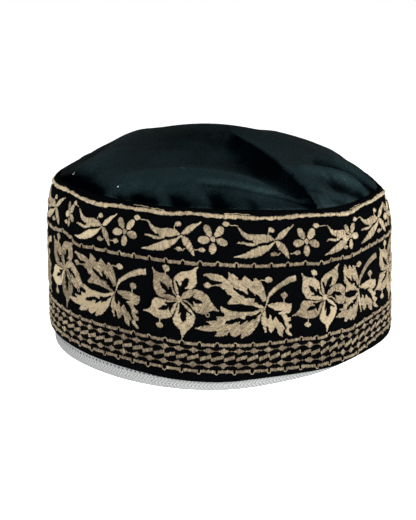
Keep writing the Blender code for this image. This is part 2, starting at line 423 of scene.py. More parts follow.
# The crown
# One soft piece of black cotton satin, gathered a little into the band and turned down inside its top. A
# sharp crease runs over it, with a slope on its right and a deep valley on its left, between soft rolls.
CROWN_TOP = 100.5
CROWN_WALL = 1.2
CROWN_TUCK = 5.0
CROWN_SHOULDER = 0.75
CROWN_FULLNESS = 1.78
FULLER_AT_CORNERS = 0.32
FLATTER_ON_RIGHT = 0.24
FLATTER_IN_FRONT = 0.09
POLE = (4.0, -2.0)
CREASE_FRONT = 33
CREASE_BACK = 183
CREASE_CREST = 2.0
CREASE_VALLEY = 6.5
CREASE_VALLEY_AT = 9.0
CREASE_CREST_LEFT = 2.5
CREASE_CREST_RIGHT = 8.0
CREASE_RIM_FADE = 9.0
CREASE_BACK_FADE = 14.0
CREASE_POLE_SHARE = 0.30
CREASE_POLE_FADE = 30.0
CREASE_BOW = -5.6
CREASE_BOW_SPREAD = 40.0
CREASE_ENDS_WIDTH = 0.45
POLE_SOFTNESS = 3.0
POLE_SOFT_FOR = 9.0
# Painted shade and painted light on the crown, put into the satin's colour and gloss
SHADE_WIDTH = 12.0
RIM_SHADE = 0.72
RIM_SHADE_FROM = 0.87
RIM_ACROSS, RIM_ALONG = 83.0, 84.0
HOLLOW_SHADE = 0.60
ROLL_LIGHT = 0.55
TOP_SHADE = 0.60
TOP_SHADE_PLACE = (-12.0, -10.0)
TOP_SHADE_SPREAD = (30.0, 16.0)
FOLD_DEPTH = 1.3
GATHER_WIDTH = 4.5
GATHER_REACH = 0.32
GATHER_SLANT = 0.7
FINE_WRINKLE = 0.16
CROWN_COLUMNS = 480
CROWN_ROWS = 84
CLOSER_AT_RIM = 1.35
TUCK_ROWS = 4
# The satin's colour in painted shade, and its colour where it is worn and where painted light falls
CROWN_IN_SHADE = (0.0002, 0.0008, 0.0016)
CROWN_WORN_AND_LIT = (0.0094, 0.0205, 0.0228)
CROWN_GLOSS = 0.18
CROWN_GLOSS_TINT = (0.60, 0.95, 1.00)
GLOSS_SPECKLE = 4.5
CROWN_TWILL = (0.0005, 0.35)

# Loose white fibres lie on the satin: two that show as specks, and two too fine to show more than a glint
LINT_WHITE = (0.85, 0.86, 0.84)
LINT_GREY = (0.30, 0.31, 0.30)
LINT_CLEAR = 0.15
Lint = namedtuple("Lint", "angle reach length radius turn")
LINT = [
    Lint(-37.0, 0.951, 0.8, 0.24, 20.0),
    Lint(-64.5, 0.941, 2.2, 0.15, 55.0),
    Lint(-19.0, 0.700, 2.2, 0.02, 10.0),
    Lint(-10.0, 0.530, 1.4, 0.02, 70.0),
]

# The puckers round the rim: the angle that each lies at, and its depth
GATHERS = {
    -164: 0.9, -149: 1.1, -133: 0.8, -118: 1.1, -104: 0.9, -90: 0.8, -72: 1.0, -56: 1.1, -30: 1.4, -14: 1.2,
    -3: 1.2, 16: 1.0, 47: 1.2, 58: 1.5, 69: 1.5, 80: 1.2, 95: 1.1, 110: 0.9, 124: 1.1, 139: 0.9, 154: 1.2,
    169: 0.8,
}

# Rolls are raised and tucks are sunken, along a line in plan that runs through two or more points
Fold = namedtuple("Fold", "height width line")
FOLDS = {
    "front roll": Fold(1.3, 7.5, [(-45, -58), (-20, -57), (8, -60), (20, -62)]),
    "front roll's edge": Fold(0.5, 2.0, [(-47, -55.5), (-33, -52.5), (-22, -53.6), (-10, -55), (1, -57),
                                         (10, -58), (18, -59)]),
    "front tuck's lip": Fold(0.6, 2.4, [(-10, -64), (1, -65), (12, -66), (24, -64.5), (38, -64)]),
    "front tuck": Fold(-0.9, 1.3, [(-8, -66.5), (1, -67.5), (12, -68.5), (23, -67), (34, -66.3),
                                   (41, -66)]),
    "left front wall": Fold(-2.0, 7.0, [(-74, -38), (-66, -48), (-57, -60)]),
    "left lobe": Fold(1.2, 4.5, [(-57, -50), (-50, -65)]),
    "valley by the left lobe": Fold(-1.1, 2.6, [(-47, -66), (-43, -74)]),
    "left puff": Fold(0.9, 2.4, [(-46, -62), (-41, -72)]),
    "second valley": Fold(-1.7, 2.8, [(-38.5, -69), (-36, -76)]),
    "second lobe": Fold(1.2, 3.0, [(-33, -62), (-28, -70), (-25, -78)]),
    "third valley": Fold(-1.2, 2.4, [(-31, -75), (-30.5, -79)]),
    "fourth valley": Fold(-1.8, 2.8, [(-21, -73), (-18.5, -80)]),
    "fourth lobe": Fold(0.9, 2.6, [(-14, -68), (-7, -80)]),
    "fifth valley": Fold(-1.8, 3.0, [(-3.5, -74), (-2.0, -81)]),
    "sixth valley": Fold(-1.0, 3.0, [(12, -75), (14, -80)]),
    "right ridge": Fold(1.9, 3.4, [(40, -41.5), (46, -38), (53, -34.5), (60, -33), (65, -34.5), (69, -37)]),
    "fold above the ridge": Fold(-1.8, 3.0, [(48, -30), (58, -27), (65, -27.5), (71, -31)]),
    "upper ridge": Fold(1.2, 3.0, [(56, -20), (66, -20), (73, -25)]),
    "right pocket": Fold(-1.9, 3.6, [(54, -42), (59, -41), (64, -39.5)]),
    "roll under the pocket": Fold(1.3, 2.4, [(47, -54), (56, -49), (63, -45)]),
    "tuck under the pocket": Fold(-0.9, 1.3, [(50, -55.5), (58, -50.5), (65, -45.5)]),
    "lowest right roll": Fold(1.2, 2.6, [(45, -60), (54, -57)]),
    "tuck by the seam": Fold(-0.9, 1.5, [(62, -49), (67, -44), (70, -39)]),
    "second tuck by the seam": Fold(-0.8, 1.4, [(66, -35), (72, -32.5)]),
    "right wrinkle": Fold(-0.8, 1.2, [(37, -57), (40, -58), (45, -54.5), (49, -53)]),
    "left shoulder dent": Fold(-1.4, 8.0, [(-65, -12), (-60, 10)]),
    "left shoulder roll": Fold(1.2, 9.0, [(-62, -30), (-55, 0), (-46, 32)]),
    "back left dent": Fold(-1.1, 10.0, [(-34, 58), (-14, 68)]),
    "back left roll": Fold(1.3, 6.0, [(-52, 52), (-30, 52)]),
    "back right roll": Fold(1.4, 9.0, [(30, 48), (56, 34)]),
    "back tuck": Fold(-0.7, 5.5, [(-8, 56), (8, 61), (24, 62), (38, 57), (46, 50)]),
}


def distance_to_line(x, y, x0, y0, x1, y1):
    """How far each point is from the straight piece between two ends."""
    along = ((x - x0) * (x1 - x0) + (y - y0) * (y1 - y0)) / ((x1 - x0) ** 2 + (y1 - y0) ** 2)
    along = np.clip(along, 0.0, 1.0)
    return np.hypot(x - x0 - along * (x1 - x0), y - y0 - along * (y1 - y0))


def distance_to_path(x, y, path):
    """How far each point is from the nearest piece of a path."""
    pieces = [distance_to_line(x, y, *start, *end) for start, end in zip(path[:-1], path[1:])]
    return np.min(pieces, axis=0)


def crown_rim(angle):
    """Where the crown leaves the top of the band, just inside it."""
    return band_face(angle, BAND_HEIGHT, BAND_WALL + INNER_GAP)


def crease_place(x, y):
    """How far a place is from the crease and on which side, and the crease's growth and width there."""
    pole, front, back = np.array(POLE), crown_rim(CREASE_FRONT)[:2], crown_rim(CREASE_BACK)[:2]
    away = np.minimum(distance_to_line(x, y, *pole, *front), distance_to_line(x, y, *pole, *back))
    to_pole = np.hypot(x - POLE[0], y - POLE[1])
    softness = POLE_SOFTNESS * np.exp(-((to_pole / POLE_SOFT_FOR) ** 2))
    away = np.hypot(away, softness) - softness
    turn = np.degrees(np.arctan2(x - POLE[0], POLE[1] - y))
    towards_front = np.degrees(np.arctan2(front[0] - POLE[0], POLE[1] - front[1]))
    towards_back = np.degrees(np.arctan2(back[0] - POLE[0], POLE[1] - back[1]))
    right_turn = np.mod(towards_back - towards_front, LAP_DEGREES)
    on_right = np.mod(turn - towards_front, LAP_DEGREES) < right_turn
    behind = np.clip((y - POLE[1]) / CREASE_BACK_FADE, 0.0, 1.0)
    ahead = np.clip((POLE[1] - y) / CREASE_POLE_FADE, 0.0, 1.0)
    growth = CREASE_POLE_SHARE + (1 - CREASE_POLE_SHARE) * ahead**2 * (3 - 2 * ahead)
    run = front - pole
    share = ((x - pole[0]) * run[0] + (y - pole[1]) * run[1]) / np.sum(run**2)
    width = CREASE_ENDS_WIDTH + (1 - CREASE_ENDS_WIDTH) * np.sin(np.pi * np.clip(share, 0.0, 1.0) ** 0.8)
    return away, on_right, growth * (1 - behind**2), width


def crease_height(x, y):
    """The crease: a sharp crest, a soft slope on its right, a steep fall to a valley on its left."""
    away, on_right, growth, width = crease_place(x, y)
    valley = CREASE_VALLEY * away / CREASE_VALLEY_AT * np.exp(1 - away / (CREASE_VALLEY_AT * width))
    left = CREASE_CREST * np.exp(-away / CREASE_CREST_LEFT) - valley
    right = CREASE_CREST * np.exp(-away / CREASE_CREST_RIGHT)
    return np.where(on_right, right, left) * growth


def fold_height(x, y):
    """All the rolls and tucks, each a smooth bump across its own line."""
    bumps = [fold.height * np.exp(-((distance_to_path(x, y, fold.line) / fold.width) ** 2))
             for fold in FOLDS.values()]
    return sum(bumps)


def painted_crown_shade(x, y):
    """Painted shade left of the crest, on the top, in hollows and by the rim, and painted light on the
    rolls.
    """
    away, on_right, growth, width = crease_place(x, y)
    by_crease = np.exp(-((away / (SHADE_WIDTH * width)) ** 2)) * np.clip(1.6 * growth, 0.0, 1.0)
    off_x = (x - TOP_SHADE_PLACE[0]) / TOP_SHADE_SPREAD[0]
    off_y = (y - TOP_SHADE_PLACE[1]) / TOP_SHADE_SPREAD[1]
    top = TOP_SHADE * np.exp(-(off_x**2 + off_y**2))
    folds = fold_height(x, y)
    hollows = HOLLOW_SHADE * np.clip(-folds, 0.0, 1.0) - ROLL_LIGHT * np.clip(folds, 0.0, 1.0)
    out = np.hypot(x / RIM_ACROSS, y / RIM_ALONG)
    to_rim = np.clip(out - RIM_SHADE_FROM, 0.0, 1.0) / (1 - RIM_SHADE_FROM)
    return np.where(on_right, 0.0, np.maximum(by_crease, top)) + hollows + RIM_SHADE * to_rim


def gather_depth(angle, reach):
    """Puckers that are deepest a little way in from the rim, with finer ones between them."""
    depth = np.zeros(np.broadcast(angle, reach).shape)
    for place, its_depth in GATHERS.items():
        turn = np.mod(angle - place + 180, LAP_DEGREES) - 180
        depth = depth + its_depth * np.exp(-((turn / GATHER_WIDTH) ** 2))
    turn = np.radians(angle)
    fine = np.sin(67 * turn) + np.sin(91 * turn + np.radians(40)) * np.sin(5 * turn)
    depth = depth + FINE_WRINKLE * fine
    inward = np.clip((1 - reach) / GATHER_REACH, 0.0, 1.0)
    return depth * np.sin(np.pi * np.sqrt(inward)) ** 2


def spoke_place(angle, reach):
    """The place in plan that a share of a straight spoke, from the pole to the rim, reaches."""
    rim = crown_rim(angle)
    return POLE[0] + (rim[..., 0] - POLE[0]) * reach, POLE[1] + (rim[..., 1] - POLE[1]) * reach


def crown_surface(angle, reach):
    """The crown's outer face: reach runs from 0 at the pole to 1 at the rim, which each spoke rounds to."""
    rim = crown_rim(angle)
    turn = np.radians(angle)
    fullness = CROWN_FULLNESS + FULLER_AT_CORNERS * np.sin(2 * turn)
    fullness = fullness - FLATTER_ON_RIGHT * np.sin(turn) - FLATTER_IN_FRONT * np.cos(2 * turn)
    x, y = spoke_place(angle, reach)
    rise = (1 - reach**fullness) ** CROWN_SHOULDER
    z = rim[..., 2] + (CROWN_TOP - rim[..., 2]) * rise
    raised = crease_height(x, y) + FOLD_DEPTH * fold_height(x, y)
    to_rim = np.hypot(rim[..., 0] - POLE[0], rim[..., 1] - POLE[1]) * (1 - reach)
    raised = raised * np.clip(to_rim / CREASE_RIM_FADE, 0.0, 1.0) ** CROWN_SHOULDER
    pucker = gather_depth(angle, reach)
    outward = np.stack([np.sin(turn), -np.cos(turn)], axis=-1)
    from_crease = (np.mod(angle - CREASE_FRONT + 180, LAP_DEGREES) - 180) / CREASE_BOW_SPREAD
    bow = CREASE_BOW * np.sin(np.pi * reach**0.6) * np.exp(-(from_crease**2))
    sideways = np.array([np.cos(np.radians(CREASE_FRONT)), np.sin(np.radians(CREASE_FRONT))])
    plan = np.stack([x, y], axis=-1) - outward * (GATHER_SLANT * pucker)[..., None]
    plan = plan + sideways * bow[..., None]
    return np.concatenate([plan, (z + raised - GATHER_SLANT * pucker)[..., None]], axis=-1)


def crown_cloth():
    """Black satin: a fine weave, a blue-green sheen with a speckle, creases too small for the mesh."""
    material, tree = new_material("black_satin")
    place = place_on(tree, "Object")
    height, wear = weave(place, *CROWN_TWILL)
    creases = noise(place, 70.0, 3.0, Roughness=0.5, Distortion=0.8)
    grain = noise(place, 1200.0, 2.0)
    # The points carry painted shade: it darkens the satin's colour and dims its gloss
    fold = carried(tree, "shade")
    speckle = grain * GLOSS_SPECKLE - (GLOSS_SPECKLE - 2) / 2
    shade = wear - fold * 0.6 + grain * 0.5 - 0.25
    # The gloss has a plain value too, for a viewer that can't take one that varies
    dress(material, {"Specular IOR Level": CROWN_GLOSS})
    return dress(material, {
        "Base Color": ramp(shade, CROWN_IN_SHADE, CROWN_WORN_AND_LIT, 0.0, 0.8),
        "Normal": bump(creases * 9.0 + height, 0.55, 0.0001),
        "Roughness": wear * 0.2 + 0.40,
        "Specular IOR Level": (fold * -1.0 + 1.0) * CROWN_GLOSS * speckle,
        "Specular Tint": (*CROWN_GLOSS_TINT, 1.0),
    })


def tube(centre, out, radius):
    """Thin tubes of four sides, from rows of centre points and the way the upper side faces at each."""
    ahead = np.gradient(centre, axis=1)
    ahead = ahead / np.linalg.norm(ahead, axis=-1, keepdims=True)
    beside = np.cross(ahead, out)
    beside = beside / np.linalg.norm(beside, axis=-1, keepdims=True)
    out = np.cross(beside, ahead)
    turn = np.arange(4) * np.pi / 2
    ring = np.cos(turn)[:, None] * beside[..., None, :] + np.sin(turn)[:, None] * out[..., None, :]
    points = centre[..., None, :] + radius * ring
    tubes, stations = centre.shape[:2]
    at, side = np.meshgrid(np.arange(stations - 1), np.arange(4), indexing="ij")
    here, over = at * 4 + side, at * 4 + (side + 1) % 4
    quads = np.stack([here, over, over + 4, here + 4], axis=-1).reshape(-1, 4)
    caps = np.array([[3, 2, 1, 0], [0, 1, 2, 3]]) + [[0], [4 * (stations - 1)]]
    one = np.vstack([quads, caps])
    faces = (one[None] + np.arange(tubes)[:, None, None] * 4 * stations).reshape(-1, 4)
    return points.reshape(-1, 3), faces


def lint_material():
    """White cotton fibre, a little uneven."""
    material, tree = new_material("white_lint")
    uneven = noise(place_on(tree, "Object"), 900.0, 2.0)
    return dress(material, {"Base Color": ramp(uneven, LINT_GREY, LINT_WHITE), "Roughness": 0.9})


def join(parts):
    """One mesh's points and faces from the points and faces of several."""
    starts = np.cumsum([0] + [len(points) for points, faces in parts])
    points = np.vstack([points for points, faces in parts])
    return points, np.vstack([faces + start for (_, faces), start in zip(parts, starts)])


def make_lint():
    """Short bent fibres that lie on the satin, each drawn from its middle along its own direction."""
    share = np.linspace(-0.5, 0.5, 6)[:, None]
    fibres = []
    for fibre in LINT:
        middle = crown_surface(np.array(fibre.angle), np.array(fibre.reach))
        beside = crown_surface(np.array(fibre.angle + 0.4), np.array(fibre.reach)) - middle
        below = crown_surface(np.array(fibre.angle), np.array(fibre.reach + 0.004)) - middle
        out = np.cross(beside, below)
        out = out / np.linalg.norm(out) * np.sign(out[2])
        ahead = np.array([np.cos(np.radians(fibre.turn)), np.sin(np.radians(fibre.turn)), 0.0])
        ahead = ahead - out * (ahead @ out)
        bent = share * ahead + share**2 * np.cross(out, ahead)
        line = middle + out * (fibre.radius + LINT_CLEAR) + fibre.length * bent
        fibres.append(tube(line[None], np.broadcast_to(out, line.shape)[None], fibre.radius))
    points, faces = join(fibres)
    return add_mesh("lint", points, faces.tolist(), lint_material())


def make_crown():
    """Spokes from the pole to the rim and down inside the band, closer near the rim, with a wall."""
    angle = CREASE_FRONT + np.arange(CROWN_COLUMNS) * LAP_DEGREES / CROWN_COLUMNS
    reach = np.linspace(1.0, 0.0, CROWN_ROWS + 1)[:-1]
    reach = 1 - (1 - reach) ** CLOSER_AT_RIM
    angle_grid, reach_grid = np.meshgrid(angle, reach, indexing="ij")
    tuck = np.linspace(CROWN_TUCK, 0.0, TUCK_ROWS + 1)[:-1]
    edge = crown_rim(angle)[:, None, :] - np.stack([0 * tuck, 0 * tuck, tuck], axis=-1)
    points = np.concatenate([edge, crown_surface(angle_grid, reach_grid)], axis=1)
    rows = points.shape[1]
    column, row = np.meshgrid(np.arange(CROWN_COLUMNS), np.arange(rows - 1), indexing="ij")
    here, there = column * rows + row, (column + 1) % CROWN_COLUMNS * rows + row
    quads = np.stack([here, there, there + 1, here + 1], axis=-1).reshape(-1, 4)
    last = np.arange(CROWN_COLUMNS) * rows + rows - 1
    pole = np.full(CROWN_COLUMNS, CROWN_COLUMNS * rows)
    cap = np.stack([last, np.roll(last, -1), pole], axis=-1)
    points = np.vstack([points.reshape(-1, 3), crown_surface(float(CREASE_FRONT), np.array(0.0))])
    faces = quads.tolist() + cap.tolist()
    crown = add_mesh("crown_satin", points, faces, crown_cloth(), ["crown"])
    # Painted shade for the satin: the rim's full painted shade on the tuck, and the painted crown shade on
    # the rest
    tucked = np.full((CROWN_COLUMNS, len(tuck)), RIM_SHADE)
    shade = np.concatenate([tucked, painted_crown_shade(*spoke_place(angle_grid, reach_grid))], axis=1)
    carry(crown, "shade", np.append(shade, painted_crown_shade(*POLE)))
    wall = crown.modifiers.new("wall", "SOLIDIFY")
    wall.thickness = CROWN_WALL * MM
    wall.offset = -1.0
    wall.use_rim = True
    make_lint()


make_crown()


# The embroidery's ground and thread
# The thread is a two-ply tan rayon. The band is charted before it is sewn: a place on it is a distance
# along it from the front and a height above the hem, and moves up or down with the rows of the worn band.
THREAD_PITCH = 0.55
THREAD_WIDTH = 0.56
THREAD_THICKNESS = 0.40
ENDS_WANDER = (-0.26, 0.16)
RISE_VARIES = (0.72, 1.22)
WIDTH_VARIES = (0.85, 1.15)
LONGEST_STITCH = 2.0
CUT_LAP = 0.32
THREAD_SPARKLE = 1.9
PLY_TWIST = 0.0009
TONE_SPREAD = 0.14
TIP_SHADE = 0.14
STITCH_EASE = 0.10
STITCH_SINK = 0.25
STITCH_FOOT = 0.1
SHORTEST_STITCH = 0.2
FIRST_RING, SECOND_RING = 0.28, 1.0
THREAD_LIGHT = (0.75, 0.62, 0.41)
THREAD_DARK = (0.21, 0.155, 0.098)

ROW_LEVELS = {"rail_3": RAIL_3, "rail_2": RAIL_2, "rail_1": RAIL_1, "top_line": TOP_LINE_HEIGHT}

luck = np.random.default_rng(11)


def creep(along, height):
    """How far the worn band has moved this place up: each row's drift, shared out between the rows."""
    levels = list(ROW_LEVELS.values())
    drifts = [around(ROWS, row, along, GIRTH) - level for row, level in ROW_LEVELS.items()]
    moved = drifts[0]
    for below, above, level, next_level in zip(drifts, drifts[1:], levels, levels[1:]):
        moved = moved + (above - below) * np.clip((height - level) / (next_level - level), 0.0, 1.0)
    return moved


def on_band(along, height, lift):
    """A charted place put on the band's outer face and lifted off it, all in millimetres."""
    back = CHART_LENGTHS[0]
    angle = np.interp(np.mod(along - back, GIRTH) + back, CHART_LENGTHS, CHART_ANGLES)
    return band_face(angle, height + creep(along, height), -lift)


def thread_material():
    """Shiny thread: each stitch's own tone and painted sheen, the ply twisting along it, a painted glint of
    fibres.
    """
    material, tree = new_material("tan_rayon")
    x, y = axes(place_on(tree, "UV"))
    ply = ((x / PLY_TWIST + y) * (2 * np.pi)).math("SINE")
    place = place_on(tree, "Object")
    patches = noise(place, 260.0, 3.0)
    # A painted glint: fine specks in the thread's colour
    sparkle = (noise(place, 1900.0, 2.0) - 0.5) * THREAD_SPARKLE
    shade = carried(tree, "tone") + patches * 0.5 + sparkle + ply * 0.05
    return dress(material, {
        "Base Color": ramp(shade, THREAD_DARK, THREAD_LIGHT, 0.35, 1.15),
        "Normal": bump(ply, 0.3, 0.00004),
        "Roughness": 0.46,
        "Specular IOR Level": 0.45,
    })


RAYON = thread_material()
STITCH_SIDES = 3
STITCH_RINGS = 4
STITCH_ARCH = np.array([0.62, 1.0, 1.0, 0.62])
Stitches = namedtuple("Stitches", "starts ends tone part", defaults=[0])


def stitch_faces():
    """One stitch's 24 triangles: two pointed ends, and walls between its four rings of three points."""
    ring, side = np.meshgrid(np.arange(STITCH_RINGS - 1), np.arange(STITCH_SIDES), indexing="ij")
    here, over = 1 + ring * STITCH_SIDES + side, 1 + ring * STITCH_SIDES + (side + 1) % STITCH_SIDES
    lower = np.stack([here, here + STITCH_SIDES, over], axis=-1).reshape(-1, 3)
    upper = np.stack([over, here + STITCH_SIDES, over + STITCH_SIDES], axis=-1).reshape(-1, 3)
    sides = np.arange(STITCH_SIDES)
    first = np.stack([0 * sides, 1 + sides, 1 + (sides + 1) % STITCH_SIDES], axis=-1)
    base = 1 + (STITCH_RINGS - 1) * STITCH_SIDES
    tip = np.full_like(sides, base + STITCH_SIDES)
    last = np.stack([tip, base + (sides + 1) % STITCH_SIDES, base + sides], axis=-1)
    return np.vstack([first, lower, upper, last])


def stitch_points(starts, ends, rise):
    """A stitch's points, each one's share of the way along it, and its length. The thread comes up at one
    end, arches over the band on four rings of three points, and goes down at the other end."""
    count = len(starts)
    length = np.maximum(np.linalg.norm(ends - starts, axis=1), SHORTEST_STITCH)
    ahead = (ends - starts) / length[:, None]
    starts = starts - ahead * (luck.uniform(*ENDS_WANDER, (count, 1)) + STITCH_EASE)
    ends = ends + ahead * (luck.uniform(*ENDS_WANDER, (count, 1)) + STITCH_EASE)
    height = rise * luck.uniform(*RISE_VARIES, count) * np.clip(0.7 + 0.12 * length, 0.0, 1.0)
    width = THREAD_WIDTH / 2 * luck.uniform(*WIDTH_VARIES, count)
    near = np.clip(FIRST_RING / length, 0.04, 0.2)
    far = np.clip(SECOND_RING / length, 0.15, 0.4)
    share = np.stack([near, far, 1 - far, 1 - near], axis=-1)
    middle = starts[:, None] + (ends - starts)[:, None] * share[..., None]
    spread = (np.stack([-ahead[:, 1], ahead[:, 0]], axis=-1) * width[:, None])[:, None]
    rings = np.stack([middle + spread, middle, middle - spread], axis=2)
    chart = np.concatenate([starts[:, None], rings.reshape(count, -1, 2), ends[:, None]], axis=1)
    top = height[:, None] * STITCH_ARCH
    foot = np.maximum(top - THREAD_THICKNESS, -STITCH_FOOT)
    lifts = np.stack([foot, top, foot], axis=2)
    sunk = np.full((count, 1), -STITCH_SINK)
    lift = np.concatenate([sunk, lifts.reshape(count, -1), sunk], axis=1)
    sides = np.repeat(share, STITCH_SIDES, axis=1)
    along = np.concatenate([np.zeros((count, 1)), sides, np.ones((count, 1))], axis=1)
    return on_band(chart[..., 0], chart[..., 1], lift), along, length


def sew(name, groups, rise, stands_for=()):
    """Sews groups of stitches into the band as one piece. Its UV map runs along and round each thread."""
    starts = np.vstack([group.starts for group in groups])
    ends = np.vstack([group.ends for group in groups])
    tone = np.concatenate([np.full(len(group.starts), group.tone) for group in groups])
    points, along, length = stitch_points(starts, ends, rise)
    first = np.arange(len(points))[:, None, None] * points.shape[1]
    faces = (stitch_faces() + first).reshape(-1, 3)
    round_it = np.concatenate([[0.5], np.tile([0.0, 0.5, 1.0], STITCH_RINGS), [0.5]])
    u = along * length[:, None] * MM
    uv = np.stack([u, np.broadcast_to(round_it, u.shape)], axis=-1).reshape(-1, 2)[faces.ravel()]
    points = points.reshape(-1, 3)
    piece = add_mesh(name, points, faces.tolist(), RAYON, stands_for, uv)
    own = tone + luck.normal(0.0, TONE_SPREAD, len(tone))
    # The tips are darker: painted shade where each stitch goes down into the cloth
    at_tips = (along == 0.0) | (along == 1.0)
    carry(piece, "tone", own[:, None] * (1 - TIP_SHADE * at_tips))


# The top line
# A thick raised satin line sewn over a cord, just under the band's top fold. Its stitches lean, and its
# width wanders because it was sewn by hand.
TOP_LINE_HALF = 0.84
TOP_LINE_RISE = 0.80
TOP_LINE_LEAN = 0.30


def sew_top_line():
    """Leaning stitches side by side round the band, with a half width that swells and shrinks slowly."""
    along = np.arange(CHART_LENGTHS[0], CHART_LENGTHS[-1], THREAD_PITCH * 0.95)
    turn = 2 * np.pi * along / GIRTH
    swell = 0.12 * np.sin(17 * turn + 1) + 0.10 * np.sin(53 * turn) + 0.10 * np.sin(131 * turn)
    half = TOP_LINE_HALF * (1 + swell)
    middle = TOP_LINE_HEIGHT + 0.10 * np.sin(29 * turn) + 0.08 * np.sin(97 * turn)
    starts = np.stack([along - TOP_LINE_LEAN, middle - half], axis=-1)
    ends = np.stack([along + TOP_LINE_LEAN, middle + half], axis=-1)
    line = Stitches(starts, ends, 0.56)
    sew("top_line", [line], TOP_LINE_RISE, ["top_border"])


sew_top_line()


# The rails
# Three rows of short satin dashes. Between two dashes the thread passes over the gap in a small loop, above
# the two upper rails and below the lowest.
DASH_HALF = 0.86
GAP_HALF = 0.60
RAIL_RISE = 0.50
RAIL_LEAN = 0.10
LOOP_THREAD = 0.17
LOOP_REACH = 0.85
RAIL_TONE = 0.24

# Threads that were carried over from one stretch of the top line to the next, and never cut
JUMP_THREAD = 0.13
Jump = namedtuple("Jump", "start end height")
JUMPS = [Jump(-43.0, -35.0, 73.5), Jump(-34.0, -27.5, 73.3), Jump(0.0, 12.0, 73.2), Jump(71.0, 80.0, 73.2)]

# Some gaps' places are known, by their number from the left. The loops lie above on side 1, below on -1.
Rail = namedtuple("Rail", "height gaps known_gap known_along side")
RAILS = [
    Rail(RAIL_1, 72, (0, 3, 9, 12, 13, 14, 15, 16, 17, 21),
         (-72.0, -48.6, -2.8, 21.2, 29.2, 38.0, 46.8, 52.8, 60.4, 89.5), 1),
    Rail(RAIL_2, 71, (0, 2, 4, 9, 13, 14, 15, 16, 17, 18, 19),
         (-74.5, -57.8, -42.0, -3.5, 28.2, 35.7, 44.0, 51.5, 59.5, 69.7, 78.0), 1),
    Rail(RAIL_3, 71, (0, 2, 4, 9, 13, 14, 15, 16, 17, 18, 19),
         (-75.1, -58.5, -42.7, -4.0, 27.6, 35.3, 44.2, 51.5, 60.2, 72.0, 79.5), -1),
]


def gap_places(rail):
    """Where a rail's gaps are: the measured ones, and even steps between them and round the back."""
    known = np.append(rail.known_gap, rail.gaps)
    return np.interp(np.arange(rail.gaps), known, np.append(rail.known_along, rail.known_along[0] + GIRTH))


def rail_stitches(rail):
    """Upright stitches round the band, left out where a gap is nearer than its half width."""
    gaps = gap_places(rail)
    along = gaps[0] + np.arange(0.0, GIRTH, THREAD_PITCH)
    ends = np.append(gaps, gaps[0] + GIRTH)
    nearest = np.min(np.abs(along[:, None] - ends[None]), axis=1)
    along = along[nearest > GAP_HALF]
    half = DASH_HALF + 0.06 * np.sin(3.1 * along)
    starts = np.stack([along - RAIL_LEAN, rail.height - half], axis=-1)
    return Stitches(starts, np.stack([along + RAIL_LEAN, rail.height + half], axis=-1), RAIL_TONE)


def thread_tube(chart, lift, radius):
    """Thin threads laid on the band: chart holds one row of places for each thread."""
    centre = on_band(chart[..., 0], chart[..., 1], lift)
    out = on_band(chart[..., 0], chart[..., 1], lift + 1.0) - centre
    return tube(centre, out, radius)


def lay_threads(name, laid, tone=0.45):
    """Joins laid threads into one piece. Each is a row of charted places with its lift and radius."""
    points, faces = join([thread_tube(*thread) for thread in laid])
    uv = np.zeros((faces.size, 2))
    piece = add_mesh(name, points, faces.tolist(), RAYON, (), uv)
    carry(piece, "tone", np.full(len(points), tone))


def gap_loops(rail):
    """A small arch over each gap, from the end of one dash to the start of the next."""
    turn = np.linspace(0.0, np.pi, 9)
    gaps = gap_places(rail)
    x = gaps[:, None] - (GAP_HALF + 0.1) * np.cos(turn)
    rise = DASH_HALF - 0.35 + LOOP_REACH * np.sin(turn)
    y = rail.height + rail.side * np.broadcast_to(rise, x.shape)
    return np.stack([x, y], axis=-1), 0.22, LOOP_THREAD


def jump_thread(jump):
    """A thread carried loosely along the top line, nearly straight, with its two ends stitched down."""
    share = np.linspace(0.0, 1.0, 17)
    along = jump.start + (jump.end - jump.start) * share
    height = jump.height + 0.25 * np.sin(np.pi * share) + 0.10 * np.sin(5 * np.pi * share)
    return np.stack([along, height], axis=-1)[None], 0.30, JUMP_THREAD


def sew_rails():
    """The three rails, the loops over their gaps and the jump threads by the top line."""
    sew("rail_stitches", [rail_stitches(rail) for rail in RAILS], RAIL_RISE)
    lay_threads("rail_loops", [gap_loops(rail) for rail in RAILS])
    lay_threads("jump_threads", [jump_thread(jump) for jump in JUMPS], 0.55)


sew_rails()


# The rows between the lower rails
# Two rows of satin diamonds on a thin line, with a small knot between each two, and between them a row of
# bars that lean up to the right, each touching the next at its corner.
DIAMOND_COUNT = 84
DIAMOND_HALF_LENGTH = 2.60
DIAMOND_HALF_WIDTH = 1.60
KNOT_HALF_LENGTH = 0.22
KNOT_HALF_WIDTH = 0.30
BAR_COUNT = 106
BAR_HALF_WIDTH = 1.00
BAR_SLOPE = 0.33
BAR_CLEAR = 0.10
BAR_START = -35.0
BAR_HEIGHT = 10.4
ROW_RISE = 0.42
DIAMOND_TONE, BAR_TONE = 0.22, 0.24
DIAMOND_LEAN, BAR_LEAN = 0.12, 0.10
SHORTEST_HALF = 0.22

# Where some diamonds of each row lie, by their numbers from the left
KNOWN_DIAMONDS = (0, 4, 6, 9, 14, 19, 21, 23, 25, 26, 28)
DiamondRow = namedtuple("DiamondRow", "height known_along")
DIAMOND_ROWS = [
    DiamondRow(13.9, (-95.5, -68.0, -54.2, -33.7, -0.8, 33.0, 47.3, 60.0, 71.3, 78.0, 90.0)),
    DiamondRow(6.9, (-95.5, -68.0, -54.5, -34.3, -1.0, 32.5, 47.5, 60.5, 72.8, 79.0, 91.0)),
]


def diamond_number(along, known_along):
    """How many diamonds lie before each place, with the fraction of the next one."""
    numbers = np.append(KNOWN_DIAMONDS, DIAMOND_COUNT)
    places = np.append(known_along, known_along[0] + GIRTH)
    return np.interp(np.mod(along - places[0], GIRTH) + places[0], places, numbers)


